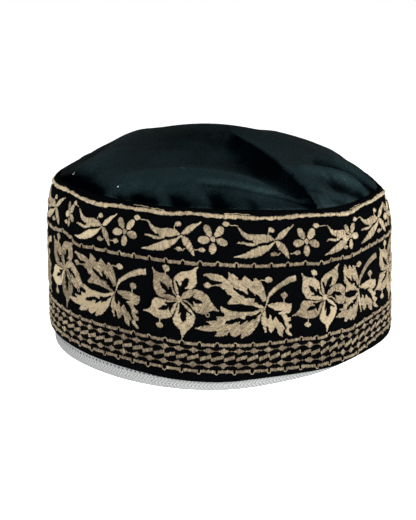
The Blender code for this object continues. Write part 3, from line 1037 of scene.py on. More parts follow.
def diamond_stitches(row):
    """Upright stitches whose half length falls off evenly from a diamond's middle, or from a knot's."""
    along = np.arange(0.0, GIRTH, THREAD_PITCH)
    step = GIRTH / DIAMOND_COUNT
    number = diamond_number(along, row.known_along)
    to_diamond = np.abs(number - np.round(number)) * step
    to_knot = step / 2 - to_diamond
    half = DIAMOND_HALF_WIDTH * (1 - to_diamond / DIAMOND_HALF_LENGTH)
    half = np.maximum(half, KNOT_HALF_WIDTH * (to_knot < KNOT_HALF_LENGTH))
    keep = half > SHORTEST_HALF
    along, half = along[keep], half[keep]
    starts = np.stack([along, row.height - half], axis=-1)
    return Stitches(starts, np.stack([along + DIAMOND_LEAN, row.height + half], axis=-1), DIAMOND_TONE)


def bar_stitches():
    """Upright stitches in a slanted band, left out for a hair's width where one bar meets the next."""
    along = np.arange(0.0, GIRTH, THREAD_PITCH)
    step = GIRTH / BAR_COUNT
    x = np.mod(along - BAR_START + step / 2, step) - step / 2
    keep = np.abs(x) < step / 2 - BAR_CLEAR
    along, x = along[keep], x[keep]
    middle = BAR_HEIGHT + BAR_SLOPE * x
    starts = np.stack([along + BAR_LEAN, middle - BAR_HALF_WIDTH], axis=-1)
    return Stitches(starts, np.stack([along - BAR_LEAN, middle + BAR_HALF_WIDTH], axis=-1), BAR_TONE)


def sew_small_rows():
    """The diamonds, the bars, and the thin line that each row of diamonds is sewn along."""
    sew("diamond_stitches", [diamond_stitches(row) for row in DIAMOND_ROWS], ROW_RISE)
    sew("bar_stitches", [bar_stitches()], ROW_RISE)
    lap = np.linspace(0.0, GIRTH, 700)
    lines = np.stack([np.stack([lap, np.full_like(lap, row.height)], axis=-1) for row in DIAMOND_ROWS])
    lay_threads("diamond_lines", [(lines, 0.02, 0.08)], 0.0)


sew_small_rows()


# The filled shapes of both friezes
# A shape is drawn in millimetres from its motif's hub, x along the band and y up. Its outline is filled
# with parallel stitches at the pitch, and a line that is too long for one stitch is sewn as several.
# The shapes' tones hold painted sheen, and each place adds its own: parts lighter or darker by how their
# stitches lie to the light
NOWHERE = 1e6
SHORTEST_FILL = 0.25
SHORTEST_ACROSS = 0.3
STAGGER = 0.7
GOLDEN = 0.382
THREAD_LIFT = 0.18

# A motif's place: its hub, its squeeze on each side, its lean and rise, what shows of it, its parts'
# painted sheen
Place = namedtuple("Place", "along height left right lean rise first last shades",
                   defaults=[1.0, 1.0, 0.0, 1.0, -200.0, 999.0, (0.0, 0.0, 0.0, 0.0, 0.0)])


def fill(outlines, slant, tone, part=0):
    """Lines at the pitch and slant, cut where they cross the outlines and kept between each pair."""
    turn = np.radians(slant)
    across = np.array([[np.cos(turn), np.sin(turn)], [-np.sin(turn), np.cos(turn)]])
    turned = [np.asarray(outline, float) @ across.T for outline in outlines]
    edges = [np.concatenate([outline, np.roll(outline, -1, axis=0)], axis=1) for outline in turned]
    u0, v0, u1, v1 = np.vstack(edges).T
    lines = np.arange(v0.min() + THREAD_PITCH / 2, v0.max(), THREAD_PITCH)[:, None]
    crosses = (v0 <= lines) != (v1 <= lines)
    share = (lines - v0) / np.where(v1 == v0, 1.0, v1 - v0)
    met = np.sort(np.where(crosses, u0 + share * (u1 - u0), NOWHERE), axis=1)
    met = met[:, : met.shape[1] // 2 * 2]
    begin, end = met[:, 0::2], met[:, 1::2]
    kept = (end < NOWHERE) & (end - begin > SHORTEST_FILL)
    line = np.broadcast_to(lines, begin.shape)[kept]
    row = np.broadcast_to(np.arange(len(lines))[:, None], begin.shape)[kept]
    begin, end = begin[kept], end[kept]
    parts = np.ceil((end - begin) / LONGEST_STITCH).astype(int)
    owner = np.repeat(np.arange(len(parts)), parts)
    index = np.arange(len(owner)) - np.repeat(np.cumsum(parts) - parts, parts)
    shift = STAGGER * ((row[owner] * GOLDEN) % 1.0 - 0.5)
    low = np.where(index == 0, 0.0, (index + shift) / parts[owner])
    high = np.where(index == parts[owner] - 1, 1.0, (index + 1 + shift) / parts[owner])
    span = (end - begin)[owner]
    first = begin[owner] + low * span - CUT_LAP * (low > 0.0)
    last = begin[owner] + high * span + CUT_LAP * (high < 1.0)
    starts = np.stack([first, line[owner]], axis=-1) @ across
    ends = np.stack([last, line[owner]], axis=-1) @ across
    return Stitches(starts, ends, tone, part)


def put_line(points, place):
    """Moves points to a hub, drawn in or out on each side of it, leaned over, and raised or flattened."""
    points = np.asarray(points, float)
    stretch = np.where(points[:, 0] < 0, place.left, place.right)
    along = place.along + points[:, 0] * stretch + points[:, 1] * place.lean
    return np.stack([along, place.height + points[:, 1] * place.rise], axis=-1)


def put(stitches, place):
    """Moves a motif's stitches to its place, in that place's painted sheen, without those that don't show.
    """
    starts, ends = put_line(stitches.starts, place), put_line(stitches.ends, place)
    middle = (starts[:, 0] + ends[:, 0]) / 2
    keep = (middle > place.first) & (middle < place.last)
    return Stitches(starts[keep], ends[keep], stitches.tone + place.shades[stitches.part])


def disc(x, y, radius, flat=1.0):
    """A round outline, or one that is this much lower than it is wide."""
    turn = np.linspace(0.0, 2 * np.pi, 15)[:-1]
    return np.stack([x + radius * np.cos(turn), y + flat * radius * np.sin(turn)], axis=-1)


def along_edge(edge, share):
    """The places at these shares of an edge's whole length."""
    x, y = np.array(edge, float).T
    run = length_along(np.stack([x, y], axis=-1))
    return np.stack([np.interp(share * run[-1], run, x), np.interp(share * run[-1], run, y)], axis=-1)


def blade(upper, lower, lean, tone, part):
    """Satin across a narrow leaf: stitches between evenly spaced places on its two edges."""
    longest = max(length_along(np.array(edge))[-1] for edge in (upper, lower))
    share = np.linspace(0.0, 1.0, int(longest / THREAD_PITCH))
    top = along_edge(upper, share)
    bottom = along_edge(lower, np.clip(share + lean / longest, 0.0, 1.0))
    keep = np.linalg.norm(top - bottom, axis=1) > SHORTEST_ACROSS
    return Stitches(bottom[keep], top[keep], tone, part)


# The small frieze
# Thirteen repeats of a branch of three leaves and a bird-shaped leaf, then a five-petalled flower, with
# berries between them. The last branch before the join is cut short by the next round's first flower.
BIRD = [
    (0.0, 0.5), (-0.9, 1.2), (-2.1, 2.1), (-3.8, 2.3), (-5.7, 2.6), (-7.9, 2.3), (-11.2, 2.3),
    (-12.6, 2.7), (-13.8, 3.4), (-14.9, 4.3), (-16.0, 5.0), (-15.7, 3.9), (-15.0, 2.7), (-14.1, 1.5),
    (-12.9, 0.4), (-11.2, -0.4), (-9.7, -0.2), (-9.6, -1.1), (-12.1, -1.1), (-13.8, -0.7), (-15.6, -0.8),
    (-17.0, -1.6), (-15.6, -1.7), (-13.8, -2.0), (-12.4, -2.5), (-10.6, -2.6), (-8.8, -2.3), (-7.4, -1.7),
    (-6.8, -1.3), (-4.4, -1.1), (-2.1, -0.7), (-0.3, -0.2),
]
LOW_LEAF_TOP = [
    (0.0, -0.4), (-1.5, -1.1), (-3.2, -1.7), (-7.4, -2.4), (-9.4, -3.3), (-13.8, -5.5), (-17.8, -7.2),
]
LOW_LEAF_FOOT = [
    (0.0, -0.4), (-1.5, -2.7), (-2.6, -3.9), (-6.2, -6.3), (-8.5, -7.0), (-13.8, -7.6), (-17.8, -7.2),
]
HIGH_LEAF_TOP = [
    (0.4, 0.2), (1.2, 1.5), (2.4, 2.9), (3.8, 3.7), (5.6, 4.5), (7.6, 4.9), (9.3, 5.5),
]
HIGH_LEAF_FOOT = [
    (0.4, 0.2), (1.5, -0.1), (3.2, 0.2), (5.0, 1.4), (7.4, 3.6), (8.5, 4.5), (9.3, 5.5),
]
RIGHT_LEAF_TOP = [
    (0.3, -0.2), (2.1, -0.4), (3.5, -1.1), (4.7, -2.3), (5.6, -4.1), (6.2, -6.1), (6.1, -8.0),
]
RIGHT_LEAF_FOOT = [
    (0.3, -0.2), (0.6, -2.0), (1.5, -3.8), (2.9, -5.2), (4.4, -6.7), (5.6, -7.9), (6.1, -8.0),
]
SMALL_PETALS = [(-3.7, 5.2), (4.4, 5.0), (6.3, -1.3), (-0.2, -5.9), (-6.5, -0.8)]
# The petals' tones are painted sheen: each lighter or darker by how its stitches lie to the light
SMALL_PETAL_TONES = [0.44, 0.62, 0.46, 0.50, 0.58]
SMALL_PETAL_HALF = 1.66
SMALL_FLOWER_LINES = [
    [(7.2, 6.1), (8.4, 5.8), (9.7, 6.0), (11.2, 5.7)],
    [(-8.2, -4.3), (-7.4, -4.6), (-6.6, -4.3), (-6.0, -4.5)],
]
SMALL_BRANCH_LINES = [
    [(-2.1, 3.9), (-2.8, 3.3), (-2.9, 2.7), (-2.7, 2.2)],
    [(0.6, -5.9), (1.2, -6.2), (1.7, -5.5), (2.3, -5.2)],
]
SMALL_HUB = 1.25
BERRY_RADIUS = 1.55
BERRY_FLATNESS = 0.74
BRANCH_RISE, SMALL_FLOWER_RISE = 0.52, 0.50
SMALL_FRIEZE_HEIGHT = 63.3
FLOWER_AFTER_BIRD = 13.9

BIRDS = [
    Place(-98.0, 63.4),
    Place(-59.7, 63.5, left=0.98, right=0.86, shades=(0.0, 0.2, 0.15, -0.1)),
    Place(-19.3, 64.0, shades=(0.05, 0.05, 0.1, 0.0)),
    Place(23.3, 63.5, left=1.07, right=1.06),
    Place(66.5, 63.2, left=0.93, lean=0.12, last=63.6, shades=(0.0, -0.15, 0.0, 0.0)),
    Place(92.3, 63.5, left=0.94, right=1.05, shades=(-0.1, -0.15, 0.0, 0.1)),
]
SMALL_FLOWERS = [
    Place(-82.4, 62.8, left=0.45, right=0.55, shades=(-0.1, -0.1, -0.1, -0.1, 0.0)),
    Place(-46.2, 62.5, shades=(-0.1, 0.15, -0.05, 0.1, 0.1)),
    Place(-4.9, 63.0),
    Place(39.2, 62.0, right=1.1, left=1.05, shades=(0.1, 0.2, -0.1, 0.0, -0.1)),
    Place(67.3, 62.2, left=0.9, right=0.95, shades=(0.0, -0.1, 0.1, 0.35, 0.0)),
    Place(105.5, 62.9),
]
BACK_BIRDS = 8
HIDDEN = np.linspace(BIRDS[-1].along, BIRDS[0].along + GIRTH, BACK_BIRDS + 2)[1:-1]
BIRDS += [Place(along, SMALL_FRIEZE_HEIGHT) for along in HIDDEN]
SMALL_FLOWERS += [Place(along + FLOWER_AFTER_BIRD, SMALL_FRIEZE_HEIGHT - 0.6) for along in HIDDEN]


def small_petal(tip, tone, part):
    """A blunt egg-shaped petal that lies from the hub to its tip, filled across its length."""
    x, y = tip
    reach = np.hypot(x, y)
    turn = np.linspace(0.0, 2 * np.pi, 19)[:-1]
    along = reach * (0.60 + 0.40 * np.cos(turn))
    beside = SMALL_PETAL_HALF * np.sin(turn) * (1 + 0.14 * np.cos(turn))
    outline = np.stack([(along * x - beside * y) / reach, (along * y + beside * x) / reach], axis=-1)
    return fill([outline], np.degrees(np.arctan2(y, x)) + 78, tone, part)


def small_berry(x, y, slant, tone, part=0):
    """A round berry, flatter than it is wide."""
    return fill([disc(x, y, BERRY_RADIUS, BERRY_FLATNESS)], slant, tone, part)


def small_branch():
    """The branch: the bird-shaped leaf, the three plain leaves and two berries."""
    return [
        fill([BIRD], 78, 0.50),
        blade(LOW_LEAF_TOP, LOW_LEAF_FOOT, 1.2, 0.54, 1),
        blade(HIGH_LEAF_TOP, HIGH_LEAF_FOOT, -0.8, 0.54, 2),
        blade(RIGHT_LEAF_TOP, RIGHT_LEAF_FOOT, 0.8, 0.44, 3),
        small_berry(-1.3, 4.1, 70, 0.60),
        small_berry(-0.6, -5.6, 80, 0.45),
    ]


def small_flower():
    """The five petals, the hub and the two berries."""
    petals = [small_petal(*petal, part) for part, petal in enumerate(zip(SMALL_PETALS, SMALL_PETAL_TONES))]
    hub = fill([disc(0.0, 0.1, SMALL_HUB)], 30, 0.50)
    return [*petals, hub, small_berry(5.8, 6.2, 85, 0.66, 1), small_berry(-4.8, -4.4, 85, 0.45, 4)]


def small_lines():
    """The thin threads of the frieze: two at each flower's berries and two at each branch's."""
    return np.stack([put_line(line, place) for place in SMALL_FLOWERS for line in SMALL_FLOWER_LINES]
                    + [put_line(line, place) for place in BIRDS for line in SMALL_BRANCH_LINES])


def sew_small_frieze():
    """The branches, then the flowers, then the thin threads between them."""
    branch, flower = small_branch(), small_flower()
    sew("small_branches", [put(stitches, place) for place in BIRDS for stitches in branch], BRANCH_RISE)
    sewn = [put(stitches, place) for place in SMALL_FLOWERS for stitches in flower]
    sew("small_flowers", sewn, SMALL_FLOWER_RISE)
    lay_threads("small_frieze_lines", [(small_lines(), THREAD_LIFT, 0.17)], 0.5)


sew_small_frieze()


# The large frieze
# Eight repeats of a five-petalled flower with an open eye in each petal, then a branch of three toothed
# leaves and a stalk. At the band's join the cloth is taken in, so that one branch is drawn together there.
# A petal's outline goes round its outer edges, and back round the eye in its middle
# A petal's tone is painted sheen: lighter or darker by how its stitches' slant lies to the light
Petal = namedtuple("Petal", "slant tone outline")
PETALS = [
    Petal(48, 0.30, [
        (-1.2, -0.6), (-3.8, -0.7), (-7.6, -0.3), (-8.9, 0.1), (-10.1, 1.0), (-11.5, 3.8), (-11.8, 5.4),
        (-11.4, 9.0), (-11.4, 11.0), (-12.1, 12.8), (-11.8, 13.3), (-10.3, 11.7), (-8.8, 11.2),
        (-5.7, 10.9), (-4.3, 10.4), (-2.8, 8.5), (-2.6, 6.8), (-2.4, 5.4), (-1.5, 2.8), (-0.1, 1.2),
        (-0.4, 1.0), (-1.7, 1.8), (-2.6, 2.6), (-3.3, 4.9), (-3.8, 5.3), (-4.2, 4.9), (-4.6, 3.8),
        (-5.0, 4.7), (-6.2, 6.1), (-8.2, 6.9), (-8.3, 6.9), (-7.8, 5.1), (-7.2, 4.0), (-5.4, 2.9),
        (-6.1, 2.2), (-7.2, 1.9), (-5.7, 1.7), (-3.5, 1.8), (-2.4, 1.4), (-1.0, 0.7),
    ]),
    Petal(-42, 0.56, [
        (-0.1, 1.2), (-1.2, 2.9), (-1.9, 4.9), (-2.2, 8.2), (-1.8, 9.9), (-0.7, 11.4), (1.0, 12.5),
        (5.4, 13.6), (7.1, 14.7), (9.3, 15.6), (8.5, 14.3), (7.9, 12.9), (8.3, 9.9), (8.3, 8.2),
        (7.6, 6.8), (6.5, 5.4), (5.1, 5.0), (3.8, 5.1), (2.6, 5.1), (3.1, 5.7), (3.9, 6.5), (4.6, 8.8),
        (4.4, 9.9), (3.5, 9.9), (1.7, 8.2), (1.1, 6.0), (0.6, 6.0), (-0.4, 8.2), (-1.4, 8.3),
        (-1.0, 7.1), (-0.1, 4.3), (0.2, 1.5),
    ]),
    Petal(62, 0.38, [
        (1.0, 1.0), (1.4, 2.1), (2.1, 3.1), (3.2, 4.0), (4.9, 4.9), (6.8, 5.3), (8.8, 5.3), (10.4, 4.7),
        (11.8, 3.8), (13.2, 2.4), (14.9, -0.7), (17.6, -3.8), (17.5, -4.3), (14.9, -3.9), (13.5, -4.4),
        (11.8, -5.6), (9.9, -5.8), (8.2, -5.4), (7.1, -4.7), (6.0, -3.8), (4.9, -2.1), (3.8, -1.2),
        (2.4, -0.7), (1.0, -0.1), (1.0, 0.0), (2.9, 0.1), (4.0, -0.1), (5.1, -1.0), (6.4, -2.4),
        (6.8, -1.5), (6.1, -0.3), (6.7, -0.1), (7.4, -0.8), (10.6, -1.1), (10.6, -0.9), (9.9, 0.1),
        (8.8, 0.8), (6.5, 1.2), (6.4, 1.8), (6.8, 2.9), (6.2, 2.4), (5.1, 1.4), (3.8, 0.8), (2.4, 0.5),
        (1.0, 0.3),
    ]),
    Petal(12, 0.50, [
        (-0.1, -1.0), (-0.8, -3.3), (-1.5, -4.9), (-1.8, -6.5), (-2.9, -8.8), (-2.8, -10.4),
        (-2.1, -11.8), (-0.7, -12.9), (0.4, -14.3), (0.8, -16.0), (1.0, -18.1), (1.4, -18.1),
        (2.1, -16.2), (3.2, -14.6), (6.0, -11.5), (6.8, -9.9), (7.5, -7.9), (7.1, -6.0), (6.2, -4.6),
        (4.9, -3.2), (3.2, -1.8), (1.0, -0.3), (0.6, -0.6), (1.5, -1.8), (2.4, -3.2), (5.1, -5.4),
        (6.0, -6.4), (5.1, -6.4), (4.6, -5.6), (3.6, -5.4), (3.1, -5.7), (3.3, -7.4), (2.9, -9.0),
        (1.8, -10.3), (1.7, -10.3), (1.1, -9.3), (0.8, -7.6), (1.2, -5.4), (0.2, -6.5), (-0.1, -6.1),
        (0.4, -4.3), (0.4, -1.0),
    ]),
    Petal(-60, 0.56, [
        (-0.4, -0.4), (-1.8, -0.9), (-5.7, -0.8), (-9.9, -0.4), (-11.0, -0.7), (-12.1, -1.8),
        (-12.6, -3.8), (-13.5, -5.4), (-14.9, -6.5), (-16.5, -7.3), (-16.5, -7.7), (-13.8, -8.1),
        (-12.6, -8.6), (-11.2, -9.4), (-9.6, -10.0), (-7.6, -10.1), (-5.7, -9.7), (-4.3, -9.0),
        (-3.2, -8.2), (-2.5, -7.1), (-1.9, -5.7), (-1.2, -4.0), (-0.8, -2.6), (-0.1, -0.7),
        (-0.4, -0.7), (-2.4, -2.4), (-3.5, -4.9), (-4.0, -6.5), (-4.3, -6.2), (-4.6, -4.4),
        (-5.7, -5.1), (-7.1, -5.6), (-9.3, -5.8), (-9.3, -5.7), (-7.4, -3.9), (-5.3, -3.3),
        (-5.7, -2.8), (-6.7, -2.1), (-4.3, -1.9), (-2.6, -1.5), (-0.8, -0.8),
    ]),
]
HIGH_TOOTHED_LEAF = [
    (0.7, 1.1), (0.4, 2.9), (0.0, 4.6), (-0.5, 6.4), (-1.2, 8.2), (-2.1, 9.5), (-3.4, 10.7), (-5.5, 11.8),
    (-5.7, 9.5), (-6.6, 10.0), (-8.0, 11.6), (-9.3, 12.7), (-10.5, 11.8), (-11.0, 10.0), (-12.3, 10.9),
    (-13.4, 12.3), (-16.8, 13.9), (-16.6, 12.1), (-17.3, 10.5), (-18.2, 11.1), (-19.8, 12.1),
    (-21.6, 12.7), (-24.5, 13.0), (-27.0, 12.9), (-27.7, 12.1), (-25.9, 11.4), (-23.8, 10.0),
    (-21.6, 9.5), (-19.8, 9.3), (-19.3, 8.8), (-22.0, 8.2), (-22.7, 7.7), (-20.2, 7.2), (-20.0, 6.6),
    (-18.2, 5.9), (-17.9, 5.0), (-17.0, 3.9), (-15.2, 3.1), (-16.2, 1.8), (-17.5, 0.2), (-16.6, -0.7),
    (-13.8, -0.5), (-10.9, -0.4), (-7.3, -0.9), (-5.2, -1.4), (-1.2, -2.7), (-0.4, -1.8), (-3.6, -0.4),
    (-3.3, 0.5), (-5.2, 0.5), (-5.0, 2.0), (-7.3, 2.5), (-9.5, 2.4), (-9.6, 3.0), (-11.2, 3.8),
    (-13.4, 5.2), (-14.5, 6.4), (-14.5, 7.1), (-11.6, 5.9), (-10.0, 5.5), (-9.5, 4.6), (-8.4, 3.9),
    (-7.9, 4.3), (-8.4, 6.1), (-7.9, 7.0), (-5.5, 4.3), (-4.6, 3.0), (-4.5, 4.6), (-3.8, 4.3),
    (-2.7, 2.9), (-1.6, 1.1), (-0.7, 0.4),
]
LOW_TOOTHED_LEAF = [
    (-0.9, -2.1), (-3.8, -3.2), (-5.9, -3.8), (-8.8, -3.9), (-15.2, -3.6), (-17.0, -2.9), (-20.4, -1.4),
    (-20.4, -2.5), (-20.0, -4.3), (-18.9, -4.6), (-18.4, -6.1), (-22.1, -6.2), (-21.6, -7.5),
    (-22.0, -8.0), (-26.8, -8.6), (-24.6, -10.0), (-27.0, -10.5), (-29.5, -11.2), (-31.6, -12.3),
    (-28.4, -13.0), (-25.5, -13.2), (-21.8, -12.9), (-22.3, -14.3), (-23.0, -15.4), (-20.9, -15.5),
    (-17.3, -14.3), (-16.4, -12.9), (-16.1, -14.6), (-14.8, -15.6), (-12.0, -14.3), (-11.2, -13.6),
    (-11.7, -15.8), (-11.1, -16.1), (-9.8, -15.0), (-8.8, -15.0), (-7.3, -14.3), (-5.5, -12.5),
    (-4.1, -10.7), (-2.7, -8.2), (-2.3, -6.1), (-1.6, -4.5), (-0.9, -3.2),
]
LOW_LEAF_SLIT = [
    (-2.3, -5.0), (-4.5, -6.8), (-6.2, -7.9), (-8.0, -8.6), (-8.2, -7.7), (-9.1, -8.2), (-11.8, -10.0),
    (-11.8, -7.9), (-13.8, -8.9), (-15.5, -9.5), (-18.6, -9.5), (-18.0, -8.4), (-17.0, -7.9),
    (-14.5, -7.1), (-12.3, -6.6), (-9.5, -7.3), (-8.9, -5.7), (-6.6, -5.7), (-4.1, -5.0), (-1.6, -3.6),
]
RIGHT_LEAF_OUTER = [
    (0.4, -0.9), (2.0, -0.7), (4.5, -0.4), (7.0, -0.2), (8.8, -0.4), (10.2, -0.9), (12.0, -1.8),
    (12.8, -1.6), (12.9, -3.2), (12.5, -4.6), (11.6, -5.7), (9.8, -6.0), (10.5, -7.1), (11.1, -8.0),
    (12.3, -8.2), (12.3, -9.3), (11.2, -10.2), (11.6, -11.2), (12.9, -11.6), (12.8, -13.2), (11.2, -13.2),
    (11.6, -14.6), (12.9, -16.1), (13.2, -16.8), (12.0, -17.1), (10.5, -16.1), (9.3, -15.0), (9.3, -13.9),
    (10.2, -12.9), (9.1, -11.1), (8.9, -9.3), (8.4, -7.9), (7.3, -6.4), (6.2, -5.7), (6.1, -5.0),
    (7.7, -4.8), (7.9, -4.3), (4.1, -3.9), (3.9, -3.2), (3.0, -2.9), (1.6, -2.3),
]
RIGHT_LEAF_INNER = [
    (-0.4, -2.5), (-1.4, -4.6), (-2.0, -6.8), (-2.0, -9.6), (-0.9, -11.8), (-0.2, -14.3), (0.5, -13.9),
    (0.2, -11.4), (0.7, -10.7), (1.4, -12.1), (2.0, -13.9), (2.9, -14.5), (3.8, -13.6), (4.3, -12.1),
    (5.0, -12.1), (5.5, -13.2), (5.9, -15.0), (7.0, -16.1), (8.2, -17.1), (8.4, -14.1), (9.6, -13.0),
    (8.8, -11.8), (8.4, -10.9), (7.3, -10.0), (6.2, -8.9), (5.5, -7.9), (4.5, -6.8), (4.1, -7.9),
    (3.4, -8.6), (2.7, -6.8), (2.1, -5.4), (1.6, -7.1), (0.7, -7.5), (0.2, -6.1), (0.0, -3.9),
]
STALK_TOP = [
    (0.0, -2.6), (0.4, -0.5), (0.7, 2.5), (1.6, 4.6), (3.4, 6.4), (5.9, 8.2), (8.8, 10.0),
    (11.6, 11.2), (14.5, 11.8),
]
STALK_FOOT = [
    (-1.2, -2.8), (0.6, -0.9), (1.4, 0.7), (2.0, 2.1), (3.8, 3.9), (6.2, 5.7), (9.1, 7.1),
    (12.0, 8.2), (14.8, 8.8),
]
LARGE_HUB = 1.45
LARGE_BERRY = 1.6
LARGE_RISE = 0.48
LARGE_FRIEZE_HEIGHT = 36.4
FLOWER_AFTER_LEAF = 31.2

LARGE_FLOWER_LINES = [
    [(-5.7, 12.4), (-5.8, 11.8), (-5.8, 11.2), (-5.8, 10.8)],
    [(-8.8, -12.0), (-8.8, -11.2), (-8.7, -10.6), (-8.8, -9.9)],
]
LARGE_LEAF_LINES = [
    [(-24.8, 7.6), (-24.0, 7.4), (-23.2, 7.6), (-22.3, 7.8)],
    [(0.4, 10.5), (-0.6, 10.4), (-1.8, 10.6), (-3.0, 10.1)],
    [(8.9, 1.9), (8.8, 1.2), (8.9, 0.6), (8.9, -0.4)],
]

LOOP_PLACE = (12.7, -5.9)
LOOP_RADIUS = 0.8
JOIN_SIDE = 61.6
LEAVES = [
    Place(-51.4, 36.4, left=0.98, right=1.03, lean=0.08, shades=(-0.10, 0.38, -0.10, 0.12, 0.0)),
    Place(18.3, 36.1, shades=(0.14, 0.0, 0.25, 0.05, 0.0)),
    Place(73.0, 36.5, left=0.60, right=1.12, lean=-0.15, shades=(0.10, -0.10, 0.15, -0.10, 0.0)),
]
FLOWERS = [
    Place(-86.5, 36.5, right=0.9, shades=(-0.06, -0.30, 0.02, -0.22, 0.25)),
    Place(-20.2, 36.3, shades=(0.0, 0.15, 0.0, 0.10, 0.05)),
    Place(48.7, 35.9, left=1.06, right=1.05, rise=0.95, last=62.0, shades=(0.42, 0.0, 0.0, 0.34, -0.12)),
    Place(103.5, 36.4, shades=(0.1, -0.2, 0.0, 0.0, -0.10)),
]
JOINED, CUT_SHORT = LEAVES[2], FLOWERS[2]
BACK_LEAVES = np.linspace(JOINED.along, FLOWERS[0].along - FLOWER_AFTER_LEAF + GIRTH, 6)[1:]
LEAVES += [Place(along, LARGE_FRIEZE_HEIGHT) for along in BACK_LEAVES]
FLOWERS += [Place(along + FLOWER_AFTER_LEAF, LARGE_FRIEZE_HEIGHT) for along in BACK_LEAVES[:-1]]


def large_flower():
    """The five petals, the hub and two berries."""
    petals = [fill([petal.outline], petal.slant, petal.tone, part) for part, petal in enumerate(PETALS)]
    hub = fill([disc(0.1, 0.2, LARGE_HUB)], 20, 0.44)
    upper = fill([disc(-5.5, 13.5, LARGE_BERRY)], 60, 0.44)
    lower = fill([disc(-8.9, -13.0, LARGE_BERRY, 0.9)], 75, 0.40)
    return [*petals, hub, upper, lower]


def large_leaves():
    """Two leaves on the left, a leaf in two halves on the right, the stalk and the berries."""
    return [
        fill([HIGH_TOOTHED_LEAF], -38, 0.38),
        fill([LOW_TOOTHED_LEAF, LOW_LEAF_SLIT], 34, 0.44, 1),
        fill([RIGHT_LEAF_OUTER], 18, 0.46, 2),
        fill([RIGHT_LEAF_INNER], -58, 0.42, 2),
        blade(STALK_TOP, STALK_FOOT, 0.6, 0.50, 3),
        fill([disc(-25.7, 7.6, LARGE_BERRY, 0.9)], 80, 0.48),
        fill([disc(1.6, 10.5, LARGE_BERRY + 0.2, 0.85)], 80, 0.60, 3),
        fill([disc(9.1, 2.8, LARGE_BERRY)], 70, 0.36, 4),
    ]


def past_the_join(leaves):
    """At the join the upper leaf and its berry are hidden on the left, where the cloth is taken in."""
    hidden = JOINED._replace(first=JOIN_SIDE)
    return [put(stitches, hidden if stitches.part == 0 else JOINED) for stitches in leaves]


def large_lines():
    """The berries' stalks. Where the cloth is taken in, the one at the far left is hidden."""
    lines = [put_line(line, place) for place in FLOWERS for line in LARGE_FLOWER_LINES]
    for place in LEAVES:
        shown = LARGE_LEAF_LINES[1:] if place is JOINED else LARGE_LEAF_LINES
        lines += [put_line(line, place) for line in shown]
    return np.stack(lines)


def loose_loops():
    """A small open ring of thread that has come loose under each flower's right petal."""
    turn = np.linspace(0.0, 2 * np.pi, 11)
    ring = np.array(LOOP_PLACE) + LOOP_RADIUS * np.stack([np.cos(turn), np.sin(turn)], axis=-1)
    return np.stack([put_line(ring, place) for place in FLOWERS if place is not CUT_SHORT])


def sew_large_frieze():
    """The flowers, then the leaves with the ones at the join last, then the thin threads."""
    flower, leaves = large_flower(), large_leaves()
    sewn = [put(stitches, place) for place in FLOWERS for stitches in flower]
    sew("large_flowers", sewn, LARGE_RISE)
    sewn = [put(stitches, place) for place in LEAVES if place is not JOINED for stitches in leaves]
    sew("large_leaves", sewn + past_the_join(leaves), LARGE_RISE)
    lay_threads("large_frieze_lines", [(large_lines(), THREAD_LIFT, 0.20), (loose_loops(), 0.25, 0.15)])


sew_large_frieze()


# The floor and the studio
# A plain white floor that runs out of view, a low key light on the right, two soft lights in front and on
# the left, faint ones behind, and a camera in front of the cap that looks a little down on it.
CAMERA_DISTANCE = 499.1
CAMERA_DOWN = 17.517
CAMERA_ROLL = -0.648
LOOK_HEIGHT = 45.0
FOCAL_PIXELS = 957.75
PRINCIPAL_X, PRINCIPAL_Y = 224.07, 234.29
IMAGE_WIDTH, IMAGE_HEIGHT = 416, 520
SENSOR = 36.0
FLOOR_SIDE = 6.0
FLOOR_GLOW = 0.95
WORLD_GLOW, WORLD_LIGHT = 0.97, 0.03
WHITE = (1.0, 1.0, 1.0, 1.0)

Light = namedtuple("Light", "place size power")
LIGHTS = {
    "key": Light((0.95, -0.55, 0.42), 0.35, 9.0),
    "front": Light((-0.10, -1.10, 0.60), 0.8, 9.0),
    "left": Light((-1.00, -0.60, 0.35), 0.5, 5.0),
    "back right": Light((0.55, 0.95, 0.55), 0.4, 0.15),
    "back left": Light((-0.45, 1.00, 0.55), 0.4, 0.10),
}


def camera_ray(tree):
    """One where the camera itself looks at a surface, and zero where light falls from it."""
    return Signal(tree.nodes.new("ShaderNodeLightPath").outputs["Is Camera Ray"])


def floor_material():
    """Matt white, and as bright as paper to the camera, so that the floor's far end isn't grey."""
    material, tree = new_material("white_floor")
    mottle = noise(place_on(tree, "Object"), 3.0, 2.0)
    return dress(material, {
        "Base Color": ramp(mottle, (0.90, 0.90, 0.90), (0.94, 0.94, 0.94)),
        "Roughness": 0.9,
        "Specular IOR Level": 0.1,
        "Emission Color": WHITE,
        "Emission Strength": camera_ray(tree) * FLOOR_GLOW,
    })


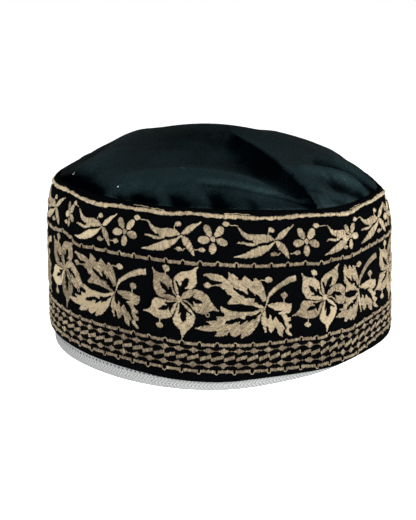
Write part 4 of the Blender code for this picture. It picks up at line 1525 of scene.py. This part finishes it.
def make_floor():
    """One square under the cap."""
    half = FLOOR_SIDE / 2
    corners = [(-half, -half, 0), (half, -half, 0), (half, half, 0), (-half, half, 0)]
    mesh = bpy.data.meshes.new("floor")
    mesh.from_pydata(corners, [], [(0, 1, 2, 3)])
    mesh.materials.append(floor_material())
    floor = bpy.data.objects.new("floor", mesh)
    bpy.context.scene.collection.objects.link(floor)


def add_light(name, light):
    """A square area light that faces the cap."""
    data = bpy.data.lights.new(name, "AREA")
    data.size = light.size
    data.energy = light.power
    lamp = bpy.data.objects.new(name, data)
    lamp.location = light.place
    aim = np.array([0.0, 0.0, LOOK_HEIGHT * MM]) - light.place
    tilt, turn = np.arccos(-aim[2] / np.linalg.norm(aim)), np.arctan2(aim[1], aim[0]) - np.pi / 2
    lamp.rotation_euler = (tilt, 0.0, turn)
    bpy.context.scene.collection.objects.link(lamp)


def make_world():
    """White where the camera looks past the floor, and a much dimmer white as light."""
    world = bpy.data.worlds.new("studio")
    world.use_nodes = True
    back = world.node_tree.nodes["Background"]
    feed(back.inputs["Strength"], camera_ray(world.node_tree) * WORLD_GLOW + WORLD_LIGHT)
    feed(back.inputs["Color"], WHITE)
    bpy.context.scene.world = world


def make_camera():
    """The camera looks at the cap's middle, and is shifted to where the photograph has its centre."""
    data = bpy.data.cameras.new("camera")
    data.sensor_width = SENSOR
    data.lens = FOCAL_PIXELS / IMAGE_HEIGHT * SENSOR
    data.shift_x = -(PRINCIPAL_X - IMAGE_WIDTH / 2) / IMAGE_HEIGHT
    data.shift_y = (PRINCIPAL_Y - IMAGE_HEIGHT / 2) / IMAGE_HEIGHT
    down = np.radians(CAMERA_DOWN)
    camera = bpy.data.objects.new("camera", data)
    target = np.array([0.0, 0.0, LOOK_HEIGHT]) - CENTRE
    camera.location = (target + CAMERA_DISTANCE * np.array([0.0, -np.cos(down), np.sin(down)])) * MM
    camera.rotation_euler = (np.pi / 2 - down, 0.0, 0.0)
    camera.rotation_euler.rotate_axis("Z", np.radians(CAMERA_ROLL))
    bpy.context.scene.collection.objects.link(camera)
    bpy.context.scene.camera = camera


make_floor()
for name, light in LIGHTS.items():
    add_light(name, light)
make_world()
make_camera()
bpy.context.scene.view_settings.view_transform = "Standard"
